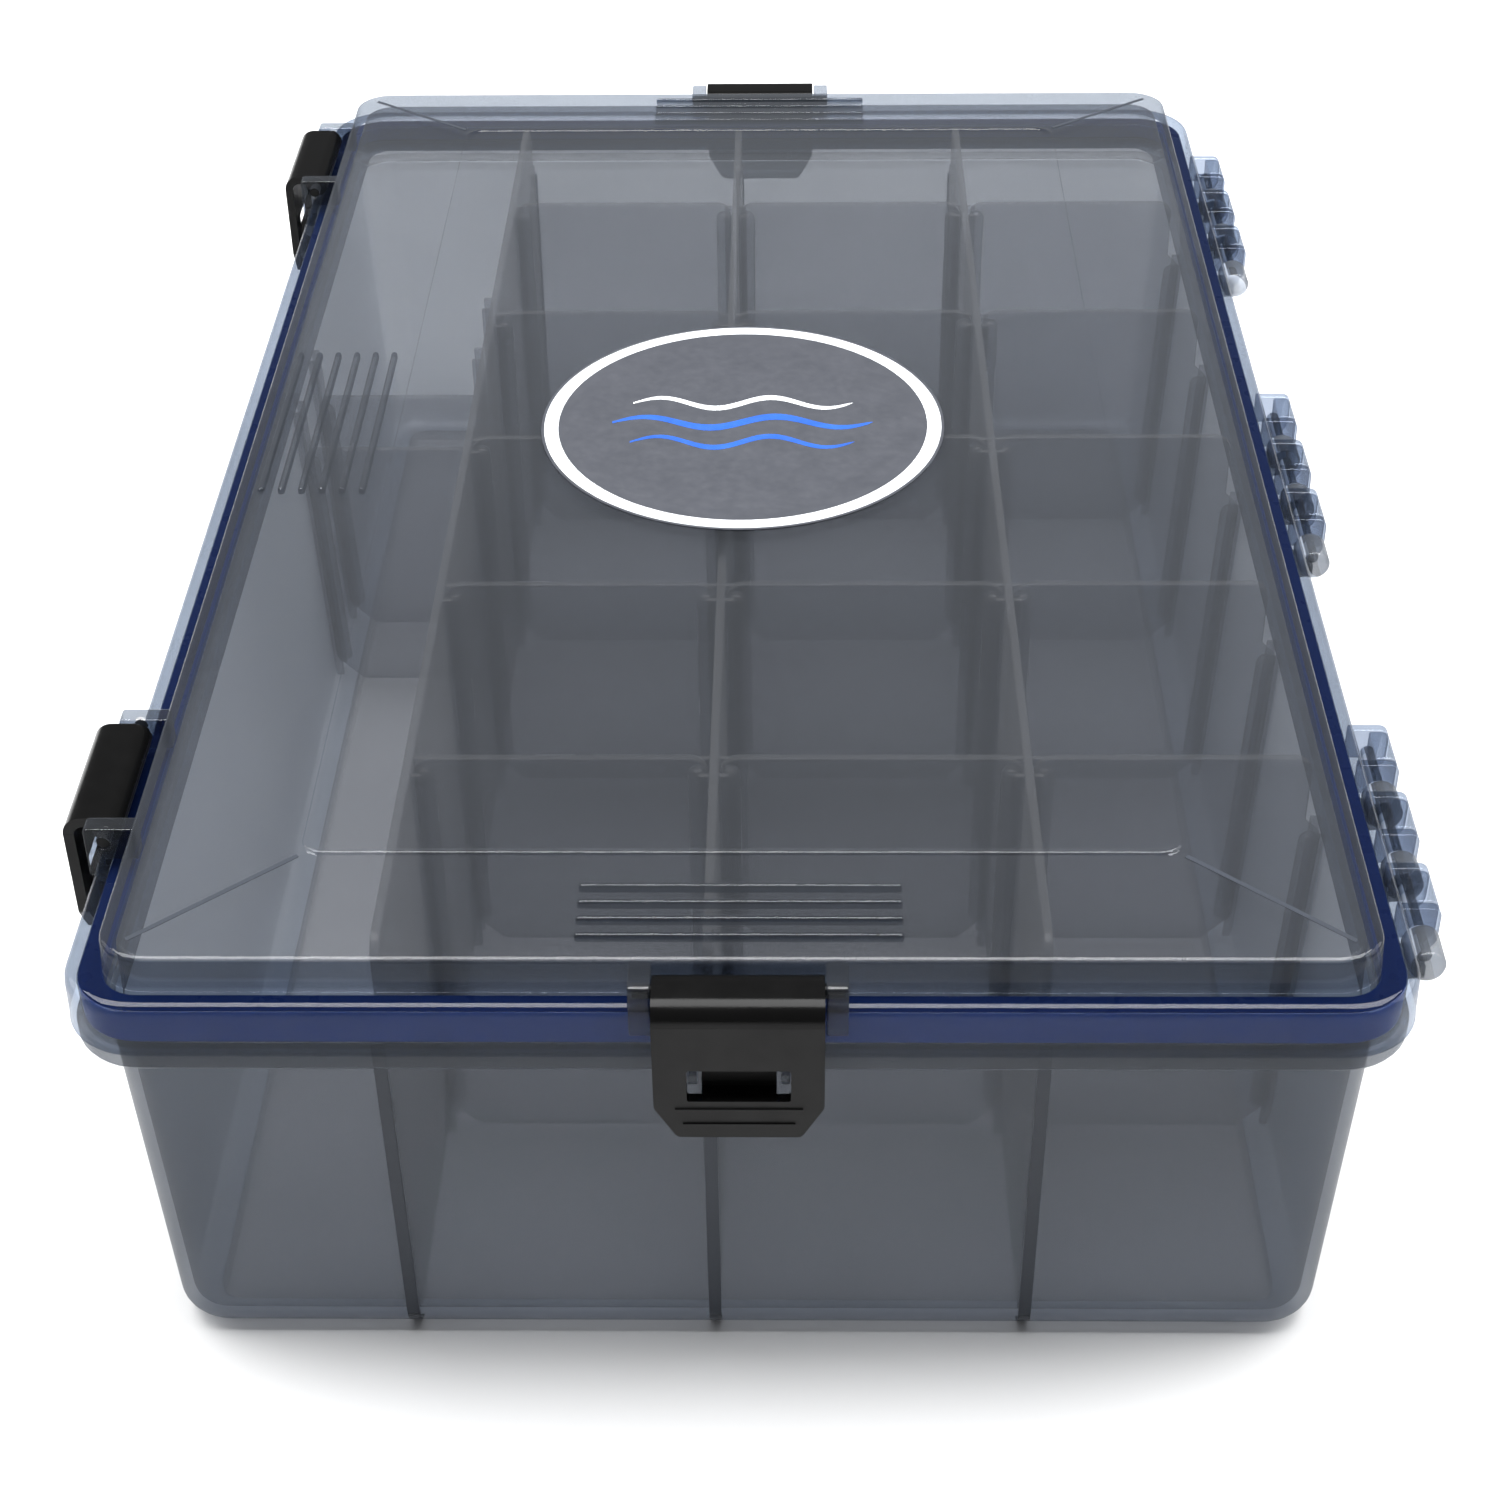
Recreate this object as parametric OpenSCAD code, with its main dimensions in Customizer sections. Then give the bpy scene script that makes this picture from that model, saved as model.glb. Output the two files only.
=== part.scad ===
// Fishing tackle box: a deep see-through moulded case with a gasketed hinged lid,
// four swinging latches, three hinge sets and lift-out dividers.
// Millimetres. +Z is up, +X points to the hinges, +Y runs along the case to its far end.
// The origin is the centre of the tub's flat resting face.

/* [Case] */
// Length of the lid flange, end to end
flange_l = 348; // [336:1:360]
// Width of the lid flange, latch side to hinge side
flange_w = 220; // [212:1:228]
// Height of the parting plane between tub and lid
parting_z = 78.5; // [74:0.5:84]
// Plan radius of the flange corners
flange_r = 13; // [11:0.5:15]
// Wall thickness of the mouldings
wall = 2.2; // [1.8:0.1:2.4]
// How far the side walls lean in from the rim down to the base
draft = 3; // [2:0.25:4]
// Radius of the rounded edge around the base
base_edge_r = 6.5; // [5:0.5:8]

/* [Lid] */
// Height of the flange skirt above the parting plane
skirt_h = 10; // [9:0.5:11]
// Height of the dome edge above the flange
dome_h = 6.4; // [5.5:0.1:7]
// Rise of the middle panel above the dome edge
panel_rise = 1.1; // [0.8:0.1:1.4]
// Width of the middle panel inside its raised bead
panel_w = 145; // [135:1:155]
// Length of the middle panel inside its raised bead
panel_l = 286.6; // [276:0.2:296]
// Radius of the round sticker
label_r = 41.6; // [30:0.1:50]

/* [Dividers] */
// Spacing of the lift-out dividers along the three wide lanes
row_pitch = 55.5; // [52:0.5:57]
// Height of the top of a tall divider
divider_top = 91.5; // [88:0.5:92]
// Height of the top of a short divider in the narrow lane
short_divider_top = 65.5; // [50:0.5:85]
// Thickness of a divider plate
plate_t = 1.5; // [1.2:0.1:1.8]
// Radius of the post at each end of a divider
post_r = 1.8; // [1.5:0.1:2]

/* [Latches] */
// Width of a latch
latch_w = 27.3; // [25:0.1:29]
// Height of a latch's lower edge above the floor
latch_bottom = 66.8; // [65:0.1:68]
// Radius of a latch's pivot stubs
stub_r = 1.2; // [1:0.05:1.4]

/* [Hinges] */
// Radius of the hinge knuckles
knuckle_r = 3.2; // [3:0.05:3.3]
// Radius of a hinge pin
pin_r = 1.25; // [1:0.05:1.4]
// Distance of the outer hinge sets from the middle one
hinge_pitch = 122; // [110:1:126]

/* [Hidden] */
$fn = 64;
hull_fn = 32;
eps = 0.02;

// Heights
rim_t = 3.7;
flange_z = parting_z + skirt_h;
dome_edge_z = flange_z + dome_h;
panel_z = dome_edge_z + panel_rise;
tongue_h = 3.5;
tongue_t = 2;
gasket_z = parting_z + tongue_h;
channel_z = flange_z - wall;
inner_lip_z = parting_z + 1.5;

// Sticker
label_x = -1.8;
label_y = -2.4;
label_t = 0.3;

// Ribs on the lid border
border_rib_w = 1.3;
border_rib_h = 1.45;
end_rib_l = 52.8;
end_rib_y = 151;
end_rib_pitch = 4.1;
side_rib_l = 57;
side_rib_x = -98;
side_rib_y = 1;
side_rib_pitch = 4.05;

// Plan sizes
rim_inset = 1;
tub_inset_w = 4.5;
tub_inset_l = 8;
dome_inset_w = 7;
dome_inset_l = 5;
rim_w = flange_w - 2 * rim_inset;
rim_l = flange_l - 2 * rim_inset;
tub_w = flange_w - 2 * tub_inset_w;
tub_l = flange_l - 2 * tub_inset_l;
tub_r = 10;
base_r = 9;
dome_w = flange_w - 2 * dome_inset_w;
dome_l = flange_l - 2 * dome_inset_l;
dome_r = 8;
dome_edge_r = 2.6;
channel_w = 4.4;
channel_outer_w = flange_w - 2 * wall;
channel_outer_l = flange_l - 2 * wall;
channel_outer_r = flange_r - wall;
wall_top_z = 90;
slope = draft / parting_z;

// Lanes: three fixed walls run the length of the tub
fixed_wall_t = 1.6;
wall_seat = 0.05;
lane_corner_r = 4;
fixed_walls = [-59.5, -5.3, 50];
cavity_half_w = tub_w / 2 - wall - draft;
cavity_half_l = tub_l / 2 - wall - draft;
function side_x(z) = cavity_half_w + slope * z;
wide_rows = [for (i = [-2:2]) i * row_pitch];
short_rows = [5 * row_pitch / 7, 8 * row_pitch / 7];
seat_gap = 0.3;
rib_t = 1;
rib_reach = 1.8;
rib_foot_z = base_edge_r;
rib_top_z = 76;
rib_root = 0.8;
foot_z = wall + 0.05;
foot_chamfer = 6;
plate_corner = 3;
shoulder_z = parting_z - 4;
shoulder_rise = 3;
shoulder_x = dome_w / 2 - wall - 1;

// Latches: [x, y, turn] of the flange face behind each one
latch_places = [
    [0, -flange_l / 2, -90],
    [0, flange_l / 2, 90],
    [-flange_w / 2, -118, 180],
    [-flange_w / 2, 135, 180]
];
latch_dome_gap = [dome_inset_l, dome_inset_l, dome_inset_w, dome_inset_w];
pivot_u = -1.8;
pivot_z = flange_z + 2.8;
latch_face_u = 5.9;
latch_t = 1.9;
latch_top_z = pivot_z + 2.6;
latch_corner_r = 3.5;
barrel_r = 2.1;
ear_r = 3.1;
ear_t = 3.5;
ear_gap = 0.25;
stub_clearance = 0.08;
window_w = 16.6;
window_z0 = 74.7;
window_z1 = 81.3;
foot_w = 20;
foot_chamfer_z = 73.2;
catch_y = 7.45;
catch_w = 1.5;
catch_h = 3.4;
catch_reach = 4;
hook_half_w = 5.8;
hook_bottom_z = 70;
hook_tip_z = 71.5;
hook_tip_u = -0.8;
hook_back_u = 0.3;
hook_web_u = 2;
hook_top_z = window_z0 + 6;
grip_half_l = 10.2;
grip_step_l = 1.2;
grip_pitch = 3.2;
grip_h = 0.7;
grip_proud = 0.4;

// Hinges
hinge_x = flange_w / 2 + 3.7;
hinge_z = parting_z + 0.5;
hinge_ys = [-hinge_pitch, 0, hinge_pitch];
lug_l = 12.8;
tub_knuckle_l = 6.6;
knuckle_gap = 0.2;
unit_l = lug_l + tub_knuckle_l + 2 * knuckle_gap;
set_half = 1.5 * unit_l - knuckle_gap / 2;
pin_clearance = 0.08;
lug_top_z = parting_z + 6.5;
lug_out = hinge_x + knuckle_r;
lug_edge_r = 1.8;
cheek_t = 2.2;
pocket_w = 2.3;
pocket_floor_z = hinge_z + 1.9;
arm_drop = 3.3;
nose_in = 0.9;
pin_blind_l = 1.5;
pin_l = 2 * set_half - 1.9;

// ---- plan shapes ----

module rounded_rect(w, l, r) {
    square([w - 2 * r, l], center = true);
    square([w, l - 2 * r], center = true);
    for (sx = [-1, 1], sy = [-1, 1])
        translate([sx * (w / 2 - r), sy * (l / 2 - r)]) circle(r);
}

module slab(w, l, r, z0, z1) {
    translate([0, 0, z0]) linear_extrude(z1 - z0) rounded_rect(w, l, r);
}

module ring(w, l, r, thickness, z0, z1) {
    difference() {
        slab(w, l, r, z0, z1);
        slab(w - 2 * thickness, l - 2 * thickness, r - thickness, z0 - 1, z1 + 1);
    }
}

// Thin layer with round corners, stacked inside a hull
module layer(w, l, r, z) {
    for (sx = [-1, 1], sy = [-1, 1])
        translate([sx * (w / 2 - r), sy * (l / 2 - r), z])
            cylinder(r = r, h = eps, $fn = hull_fn);
}

// Drafted tray shape with a rounded base edge: inset is the distance in from the tub's outside
module tray(inset, z0, z1, edge_r) {
    w0 = tub_w - 2 * inset - 2 * draft;
    l0 = tub_l - 2 * inset - 2 * draft;
    hull() {
        for (a = [0:18:90]) {
            in = edge_r * (1 - sin(a));
            layer(w0 - 2 * in, l0 - 2 * in, base_r - inset - in / 2, z0 + edge_r * (1 - cos(a)));
        }
        layer(w0 + 2 * slope * z1, l0 + 2 * slope * z1, tub_r - inset, z1);
    }
}

// Hipped dome shape: inset is the distance in from the lid's outside, foot its lower end
module dome(inset, foot) {
    hull() {
        layer(dome_w + 0.6 - 2 * inset, dome_l + 0.6 - 2 * inset, dome_r - inset / 2, foot);
        for (a = [0:22.5:90]) {
            in = dome_edge_r * (1 - cos(a)) + inset;
            layer(dome_w - 2 * in, dome_l - 2 * in, dome_r - in / 2,
                  dome_edge_z - inset - dome_edge_r * (1 - sin(a)));
        }
        layer(panel_w, panel_l, 3, panel_z - inset - eps);
    }
}

module at_latch(i) {
    p = latch_places[i];
    translate([p[0], p[1], 0]) rotate([0, 0, p[2]]) children();
}

// Cylinder along Y, centred
module y_rod(r, l) {
    rotate([90, 0, 0]) cylinder(r = r, h = l, center = true);
}

// Extrudes a profile drawn in X and Z along Y, centred
module y_extrude(l) {
    translate([0, l / 2, 0]) rotate([90, 0, 0]) linear_extrude(l) children();
}

// ---- tub ----

// Everything below the top of the rounded base edge
module base_zone() {
    translate([-tub_w, -tub_l, -1]) cube([2 * tub_w, 2 * tub_l, base_edge_r + 1]);
}

// The tub's floor and the rounded edge around it
module tub_base() {
    color([0.42, 0.46, 0.52]) intersection() {
        difference() {
            tray(0, 0, parting_z - 1, base_edge_r);
            tray(wall, wall, parting_z + 1, base_edge_r - wall);
        }
        base_zone();
    }
}

// The tub's walls, standing on its base, with the rim and the tongue that meets the gasket
module tub_walls() {
    difference() {
        union() {
            tray(0, 0, parting_z - 1, base_edge_r);
            slab(rim_w, rim_l, flange_r - rim_inset, parting_z - rim_t, parting_z);
        }
        tray(wall, wall, parting_z + 1, base_edge_r - wall);
        base_zone();
    }
    tongue_w = flange_w - 2 * (wall + channel_w / 2 - tongue_t / 2);
    ring(tongue_w, tongue_w + flange_l - flange_w, flange_r - 3.4, tongue_t,
         parting_z - eps, gasket_z);
}

// Two guide ribs either side of a divider's post, standing at x and w wide
module rib_pair(x, w, y) {
    for (s = [-1, 1])
        translate([x, y + s * (post_r + seat_gap + rib_t / 2)]) square([w, rib_t], center = true);
}

// Fixed lane wall k (0 borders the narrow lane), with the guide ribs that seat the dividers
module lane_wall(k) {
    color([0.42, 0.46, 0.52]) intersection() {
        translate([fixed_walls[k], 0, 0]) linear_extrude(wall_top_z) {
            square([fixed_wall_t, tub_l], center = true);
            for (y = wide_rows)
                rib_pair(k == 0 ? rib_reach / 2 : 0, fixed_wall_t + (k == 0 ? 1 : 2) * rib_reach, y);
            if (k == 0)
                for (y = short_rows) rib_pair(-rib_reach / 2, fixed_wall_t + rib_reach, y);
        }
        lane_wall_outline();
    }
}

// Side view of a lane wall: its foot follows the tub's rounded edge, its ends lean with the
// end walls and step in above the rim, to stay clear of the lid
module lane_wall_outline() {
    inner_r = base_edge_r - wall;
    foot_half = cavity_half_l - wall_seat;
    rim_half = foot_half + slope * (parting_z - base_edge_r - 2);
    top_half = cavity_half_l - 1;
    rotate([90, 0, 90]) linear_extrude(2 * tub_w, center = true) union() {
        polygon([
            [-rim_half, parting_z - 1], [-foot_half, base_edge_r], [-foot_half + inner_r, wall],
            [foot_half - inner_r, wall], [foot_half, base_edge_r], [rim_half, parting_z - 1]
        ]);
        translate([-top_half + lane_corner_r, wall])
            square([2 * (top_half - lane_corner_r), wall_top_z - wall]);
        translate([-top_half, parting_z - 2])
            square([2 * top_half, wall_top_z - lane_corner_r - parting_z + 2]);
        for (s = [-1, 1])
            translate([s * (top_half - lane_corner_r), wall_top_z - lane_corner_r])
                circle(lane_corner_r);
    }
}

// Pair of drafted guide ribs on an outer side wall, facing the lanes
module side_ribs(side, y) {
    for (s = [-1, 1])
        translate([0, y + s * (post_r + seat_gap + rib_t / 2), 0])
            y_extrude(rib_t) polygon([
                [side * (side_x(rib_foot_z) - rib_reach), rib_foot_z],
                [side * (side_x(rib_foot_z) + rib_root), rib_foot_z],
                [side * (side_x(rib_top_z) + rib_root), rib_top_z],
                [side * (side_x(rib_top_z) - rib_reach), rib_top_z]
            ]);
}

module tub_knuckles() {
    for (y0 = hinge_ys) translate([0, y0, 0]) difference() {
        union() {
            for (k = [0:2])
                translate([0, set_half - (k + 1) * unit_l + knuckle_gap + tub_knuckle_l / 2, 0]) {
                    translate([hinge_x, 0, hinge_z]) y_rod(knuckle_r, tub_knuckle_l);
                    y_extrude(tub_knuckle_l)
                        translate([rim_w / 2 - 1, parting_z - arm_drop])
                            square([hinge_x - rim_w / 2 + 1, arm_drop - 0.2]);
                }
            translate([hinge_x, -set_half + nose_in, hinge_z]) sphere(knuckle_r);
        }
        translate([hinge_x, pin_blind_l, hinge_z]) y_rod(pin_r, 2 * set_half);
    }
}

// Two catch lugs behind each latch window, standing on the rim's face
module catch_lugs() {
    color([0.42, 0.46, 0.52]) for (i = [0:3]) at_latch(i)
        for (s = [-1, 1])
            translate([-rim_inset, s * catch_y - catch_w / 2, parting_z - rim_t + 0.1])
                cube([catch_reach, catch_w, catch_h]);
}

module tub() {
    color([0.42, 0.46, 0.52]) {
        tub_walls();
        for (y = wide_rows) side_ribs(1, y);
        for (y = short_rows) side_ribs(-1, y);
        tub_knuckles();
    }
}

// ---- lid ----

module lid_shell() {
    difference() {
        union() {
            slab(flange_w, flange_l, flange_r, parting_z, flange_z);
            dome(0, flange_z - 1);
        }
        dome(wall, parting_z - 1);
        // Space under the inner lip, for the top of the tub wall
        slab(channel_outer_w - 2, channel_outer_l - 2, channel_outer_r - 1, parting_z - 1, inner_lip_z);
        // Channel that holds the gasket
        ring(channel_outer_w, channel_outer_l, channel_outer_r, channel_w, parting_z - 1, channel_z);
    }
}

module panel_bead() {
    ring(panel_w + 1.2, panel_l + 1.2, 3, 1.5, panel_z - 0.4, panel_z + 0.4);
}

// Low ribs on the lid border: four at each end, six on the latch side
module border_ribs() {
    z0 = dome_edge_z - 0.6;
    for (s = [-1, 1], k = [0:3])
        translate([0, s * (end_rib_y + end_rib_pitch * k), z0 + border_rib_h / 2])
            cube([end_rib_l, border_rib_w, border_rib_h], center = true);
    for (k = [0:5])
        translate([side_rib_x + side_rib_pitch * k, side_rib_y, z0 + border_rib_h / 2])
            cube([border_rib_w, side_rib_l, border_rib_h], center = true);
}

// Two ears carry each latch; dome_gap is the distance from flange face to dome wall
module latch_ears(dome_gap) {
    for (s = [-1, 1])
        translate([0, s * (latch_w / 2 + ear_gap + ear_t / 2), 0]) difference() {
            union() {
                translate([pivot_u, 0, pivot_z]) y_rod(ear_r, ear_t);
                y_extrude(ear_t) {
                    translate([-dome_gap - 1, flange_z - 0.5])
                        square([dome_gap + 1 + pivot_u, pivot_z + ear_r - flange_z + 0.5]);
                    translate([-dome_gap - 1, flange_z - 0.5])
                        square([dome_gap + 1 + pivot_u + ear_r, pivot_z - flange_z + 0.5]);
                }
            }
            translate([pivot_u, 0, pivot_z]) y_rod(stub_r + stub_clearance, ear_t + 2);
        }
}

// One hinge lug: an open-topped loop around the pin
module hinge_lug() {
    difference() {
        y_extrude(lug_l) {
            translate([hinge_x, hinge_z]) circle(knuckle_r);
            translate([flange_w / 2 - 1, hinge_z])
                square([lug_out - flange_w / 2 + 1, lug_top_z - lug_edge_r - hinge_z]);
            translate([flange_w / 2 - 1, hinge_z])
                square([lug_out - lug_edge_r - flange_w / 2 + 1, lug_top_z - hinge_z]);
            translate([lug_out - lug_edge_r, lug_top_z - lug_edge_r]) circle(lug_edge_r);
        }
        translate([flange_w / 2 + 0.7, -lug_l / 2 + cheek_t, pocket_floor_z])
            cube([pocket_w, lug_l - 2 * cheek_t, lug_top_z]);
        translate([hinge_x, 0, hinge_z]) y_rod(pin_r + pin_clearance, lug_l + 2);
    }
}

module lid() {
    color([0.38, 0.42, 0.48]) {
        lid_shell();
        panel_bead();
        border_ribs();
        for (i = [0:3]) at_latch(i) latch_ears(latch_dome_gap[i]);
        for (y0 = hinge_ys, k = [0:2])
            translate([0, y0 + set_half - k * unit_l - lug_l / 2, 0]) hinge_lug();
    }
}

module gasket() {
    gap = 0.25;
    color([0.08, 0.17, 0.45])
        ring(channel_outer_w - 2 * gap, channel_outer_l - 2 * gap, channel_outer_r - gap,
             channel_w - 2 * gap, gasket_z, channel_z);
}

module label() {
    color([0.12, 0.13, 0.15])
        translate([label_x, label_y, panel_z]) cylinder(r = label_r, h = label_t, $fn = 96);
}

// ---- latches ----

// Side view of a latch: a top plate that turns down into the front plate
module latch_profile() {
    inner_r = latch_corner_r - latch_t;
    corner_u = latch_face_u - latch_corner_r;
    corner_z = latch_top_z - latch_corner_r;
    back_u = pivot_u + 0.3;
    difference() {
        union() {
            translate([back_u, latch_bottom])
                square([corner_u - back_u, latch_top_z - latch_bottom]);
            translate([back_u, latch_bottom])
                square([latch_face_u - back_u, corner_z - latch_bottom]);
            translate([corner_u, corner_z]) circle(latch_corner_r);
        }
        translate([back_u - 1, latch_bottom - 1])
            square([corner_u - back_u + 1, corner_z + inner_r - latch_bottom + 1]);
        translate([back_u - 1, latch_bottom - 1])
            square([latch_face_u - latch_t - back_u + 1, corner_z - latch_bottom + 1]);
        translate([corner_u, corner_z]) circle(inner_r);
    }
}

module latch() {
    color([0.09, 0.09, 0.1]) {
        difference() {
            y_extrude(latch_w) latch_profile();
            translate([0, -window_w / 2, window_z0]) cube([10, window_w, window_z1 - window_z0]);
            for (s = [-1, 1]) scale([1, s, 1]) rotate([90, 0, 90]) linear_extrude(10)
                polygon([
                    [foot_w / 2, latch_bottom - 1], [latch_w, latch_bottom - 1],
                    [latch_w, foot_chamfer_z], [latch_w / 2, foot_chamfer_z],
                    [foot_w / 2, latch_bottom]
                ]);
        }
        translate([pivot_u, 0, pivot_z]) {
            y_rod(barrel_r, latch_w);
            y_rod(stub_r, latch_w + 2 * (ear_gap + ear_t) - 1);
        }
        latch_hook();
        for (k = [0, 1])
            translate([latch_face_u - 0.5, k * grip_step_l - grip_half_l,
                       foot_chamfer_z - 0.5 - grip_pitch * k])
                cube([0.5 + grip_proud, 2 * (grip_half_l - k * grip_step_l), grip_h]);
    }
}

// Hook block behind the window: it reaches in between the two catch lugs
module latch_hook() {
    plate_u = latch_face_u - latch_t + eps;
    shelf_z = window_z0 - 0.1;
    y_extrude(2 * hook_half_w) polygon([
        [hook_back_u, hook_bottom_z], [plate_u, hook_bottom_z], [plate_u, shelf_z],
        [hook_web_u, shelf_z], [hook_web_u, hook_top_z], [hook_back_u, hook_top_z],
        [hook_back_u, shelf_z - 0.2], [hook_tip_u, shelf_z - 0.2],
        [hook_tip_u, hook_tip_z], [hook_back_u, hook_tip_z]
    ]);
}

// ---- hinge pins ----

module hinge_pin(i) {
    color([0.5, 0.53, 0.57])
        translate([hinge_x, hinge_ys[i] + nose_in, hinge_z]) y_rod(pin_r, pin_l);
}

// ---- dividers ----

// Side faces of lane n (0 is the narrow lane) at height z
function lane_left(n, z) = n == 0 ? -side_x(z) : fixed_walls[n - 1] + fixed_wall_t / 2;
function lane_right(n, z) = n == 3 ? side_x(z) : fixed_walls[n] - fixed_wall_t / 2;

// Upright edge of a divider from its foot to its top. Against an outer wall (side -1 or 1) it
// leans with the wall, and a tall one steps in over a shoulder, to stay clear of the lid
function inner_edge(x, side, top, lower) = [
    [x - side * seat_gap, lower],
    [x - side * seat_gap, top - plate_corner],
    [x - side * (seat_gap + plate_corner), top]
];
function outer_edge(side, top, lower) =
    let(z1 = min(shoulder_z, top - plate_corner), tall = top > parting_z)
    concat(
        [[side * (side_x(lower) - seat_gap), lower], [side * (side_x(z1) - seat_gap), z1]],
        tall ? [[side * shoulder_x, z1 + shoulder_rise],
                [side * shoulder_x, top - plate_corner],
                [side * (shoulder_x - plate_corner), top]]
             : [[side * (side_x(top) - seat_gap - plate_corner), top]]
    );
function reversed(points) = [for (i = [len(points) - 1:-1:0]) points[i]];

// Post with a rounded top that leans with the lane's side wall
module post(x0, x1, z0, z1) {
    lean = atan((x1 - x0) / (z1 - z0));
    run = sqrt(pow(x1 - x0, 2) + pow(z1 - z0, 2));
    translate([x0, 0, z0]) rotate([0, lean, 0]) {
        cylinder(r = post_r, h = run);
        translate([0, 0, run]) sphere(post_r);
    }
}

module divider(n, y, top) {
    lower = foot_z + foot_chamfer;
    in_x = post_r + seat_gap;
    left_end = n == 0 ? min(top - 4, shoulder_z - post_r) : top - 4;
    right_end = n == 3 ? min(top - 4, shoulder_z - post_r) : top - 4;
    left = n == 0 ? outer_edge(-1, top, lower) : inner_edge(lane_left(n, 0), -1, top, lower);
    right = n == 3 ? outer_edge(1, top, lower) : inner_edge(lane_right(n, 0), 1, top, lower);
    color([0.45, 0.48, 0.53]) translate([0, y, 0]) {
        y_extrude(plate_t) polygon(concat(
            [[lane_left(n, foot_z) + foot_chamfer, foot_z],
             [lane_right(n, foot_z) - foot_chamfer, foot_z]],
            right,
            reversed(left)
        ));
        post(lane_left(n, lower) + in_x, lane_left(n, left_end) + in_x, lower, left_end);
        post(lane_right(n, lower) - in_x, lane_right(n, right_end) - in_x, lower, right_end);
    }
}

tub();
tub_base();
lane_wall(0);  // lane_wall_1
lane_wall(1);  // lane_wall_2
lane_wall(2);  // lane_wall_3
catch_lugs();
lid();
gasket();
label();
at_latch(0) latch();  // latch_near_end
at_latch(1) latch();  // latch_far_end
at_latch(2) latch();  // latch_side_near
at_latch(3) latch();  // latch_side_far
hinge_pin(0);  // hinge_pin_near
hinge_pin(1);  // hinge_pin_middle
hinge_pin(2);  // hinge_pin_far
divider(1, wide_rows[0], divider_top);  // divider_b1
divider(1, wide_rows[1], divider_top);  // divider_b2
divider(1, wide_rows[2], divider_top);  // divider_b3
divider(1, wide_rows[3], divider_top);  // divider_b4
divider(1, wide_rows[4], divider_top);  // divider_b5
divider(2, wide_rows[0], divider_top);  // divider_c1
divider(2, wide_rows[1], divider_top);  // divider_c2
divider(2, wide_rows[2], divider_top);  // divider_c3
divider(2, wide_rows[3], divider_top);  // divider_c4
divider(2, wide_rows[4], divider_top);  // divider_c5
divider(3, wide_rows[0], divider_top);  // divider_d1
divider(3, wide_rows[1], divider_top);  // divider_d2
divider(3, wide_rows[2], divider_top);  // divider_d3
divider(3, wide_rows[3], divider_top);  // divider_d4
divider(3, wide_rows[4], divider_top);  // divider_d5
divider(0, short_rows[0], short_divider_top);  // short_divider_a1
divider(0, short_rows[1], short_divider_top);  // short_divider_a2
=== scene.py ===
import math

import bmesh
import bpy
from mathutils import Matrix, Vector


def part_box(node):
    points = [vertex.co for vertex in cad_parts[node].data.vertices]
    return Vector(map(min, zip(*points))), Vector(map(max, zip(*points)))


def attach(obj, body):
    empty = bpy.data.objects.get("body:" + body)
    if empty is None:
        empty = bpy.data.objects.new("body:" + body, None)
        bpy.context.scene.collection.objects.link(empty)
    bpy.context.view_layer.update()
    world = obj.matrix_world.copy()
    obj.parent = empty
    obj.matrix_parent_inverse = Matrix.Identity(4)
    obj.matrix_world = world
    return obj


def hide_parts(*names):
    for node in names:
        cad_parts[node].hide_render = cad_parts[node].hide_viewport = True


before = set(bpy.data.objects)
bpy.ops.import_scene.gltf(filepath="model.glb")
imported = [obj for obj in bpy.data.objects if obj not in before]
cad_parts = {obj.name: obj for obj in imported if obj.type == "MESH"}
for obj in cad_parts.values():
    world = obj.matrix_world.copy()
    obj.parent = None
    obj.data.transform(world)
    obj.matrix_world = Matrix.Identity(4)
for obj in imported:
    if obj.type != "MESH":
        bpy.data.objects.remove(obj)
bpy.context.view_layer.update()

MM = 0.001

# ---------------------------------------------------------------------------
# Sizes. Places come from the CAD nodes; the rest are the mouldings' own details.
# ---------------------------------------------------------------------------
gasket_low, gasket_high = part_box("gasket")
label_low, label_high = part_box("label")
pin_low, pin_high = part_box("hinge_pin_middle")

WALL = 2.2 * MM
GASKET_INSET = 2.45 * MM
TONGUE_HIGH = 3.5 * MM
FLANGE_X = gasket_high.x + GASKET_INSET
FLANGE_Y = gasket_high.y + GASKET_INSET
FLANGE_R = 13 * MM
FLANGE_Z = gasket_high.z + WALL
PARTING_Z = gasket_low.z - TONGUE_HIGH
PANEL_Z = label_low.z
PANEL_X = 72.5 * MM
PANEL_Y = 143.3 * MM
PANEL_R = 3.4 * MM
DOME_EDGE_Z = PANEL_Z - 1.1 * MM
DOME_IN_X = 7 * MM
DOME_IN_Y = 5 * MM
DOME_X = FLANGE_X - DOME_IN_X
DOME_Y = FLANGE_Y - DOME_IN_Y
DOME_R = 8 * MM
DOME_EDGE_R = 1.1 * MM
CHANNEL_X = FLANGE_X - WALL
CHANNEL_WIDE = 4.4 * MM
TUB_X = FLANGE_X - 4.5 * MM
TUB_Y = FLANGE_Y - 8 * MM
TUB_R = 10 * MM
DRAFT = 3 * MM
SLOPE = DRAFT / PARTING_Z
BASE_EDGE_R = 6.5 * MM
RIM_Z = PARTING_Z - 3.7 * MM
RIM_IN = 1 * MM
LANE_TOP_Z = 90 * MM
LANE_WALL_T = 1.6 * MM
HINGE_X = (pin_low.x + pin_high.x) / 2
HINGE_Z = (pin_low.z + pin_high.z) / 2
PIN_R = (pin_high.z - pin_low.z) / 2
KNUCKLE_R = 3.2 * MM
CORNER_STEPS = 10
BEVEL_ANGLE = math.radians(35)
SHARP_ANGLE = math.radians(50)

# ---------------------------------------------------------------------------
# Mesh helpers
# ---------------------------------------------------------------------------


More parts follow.
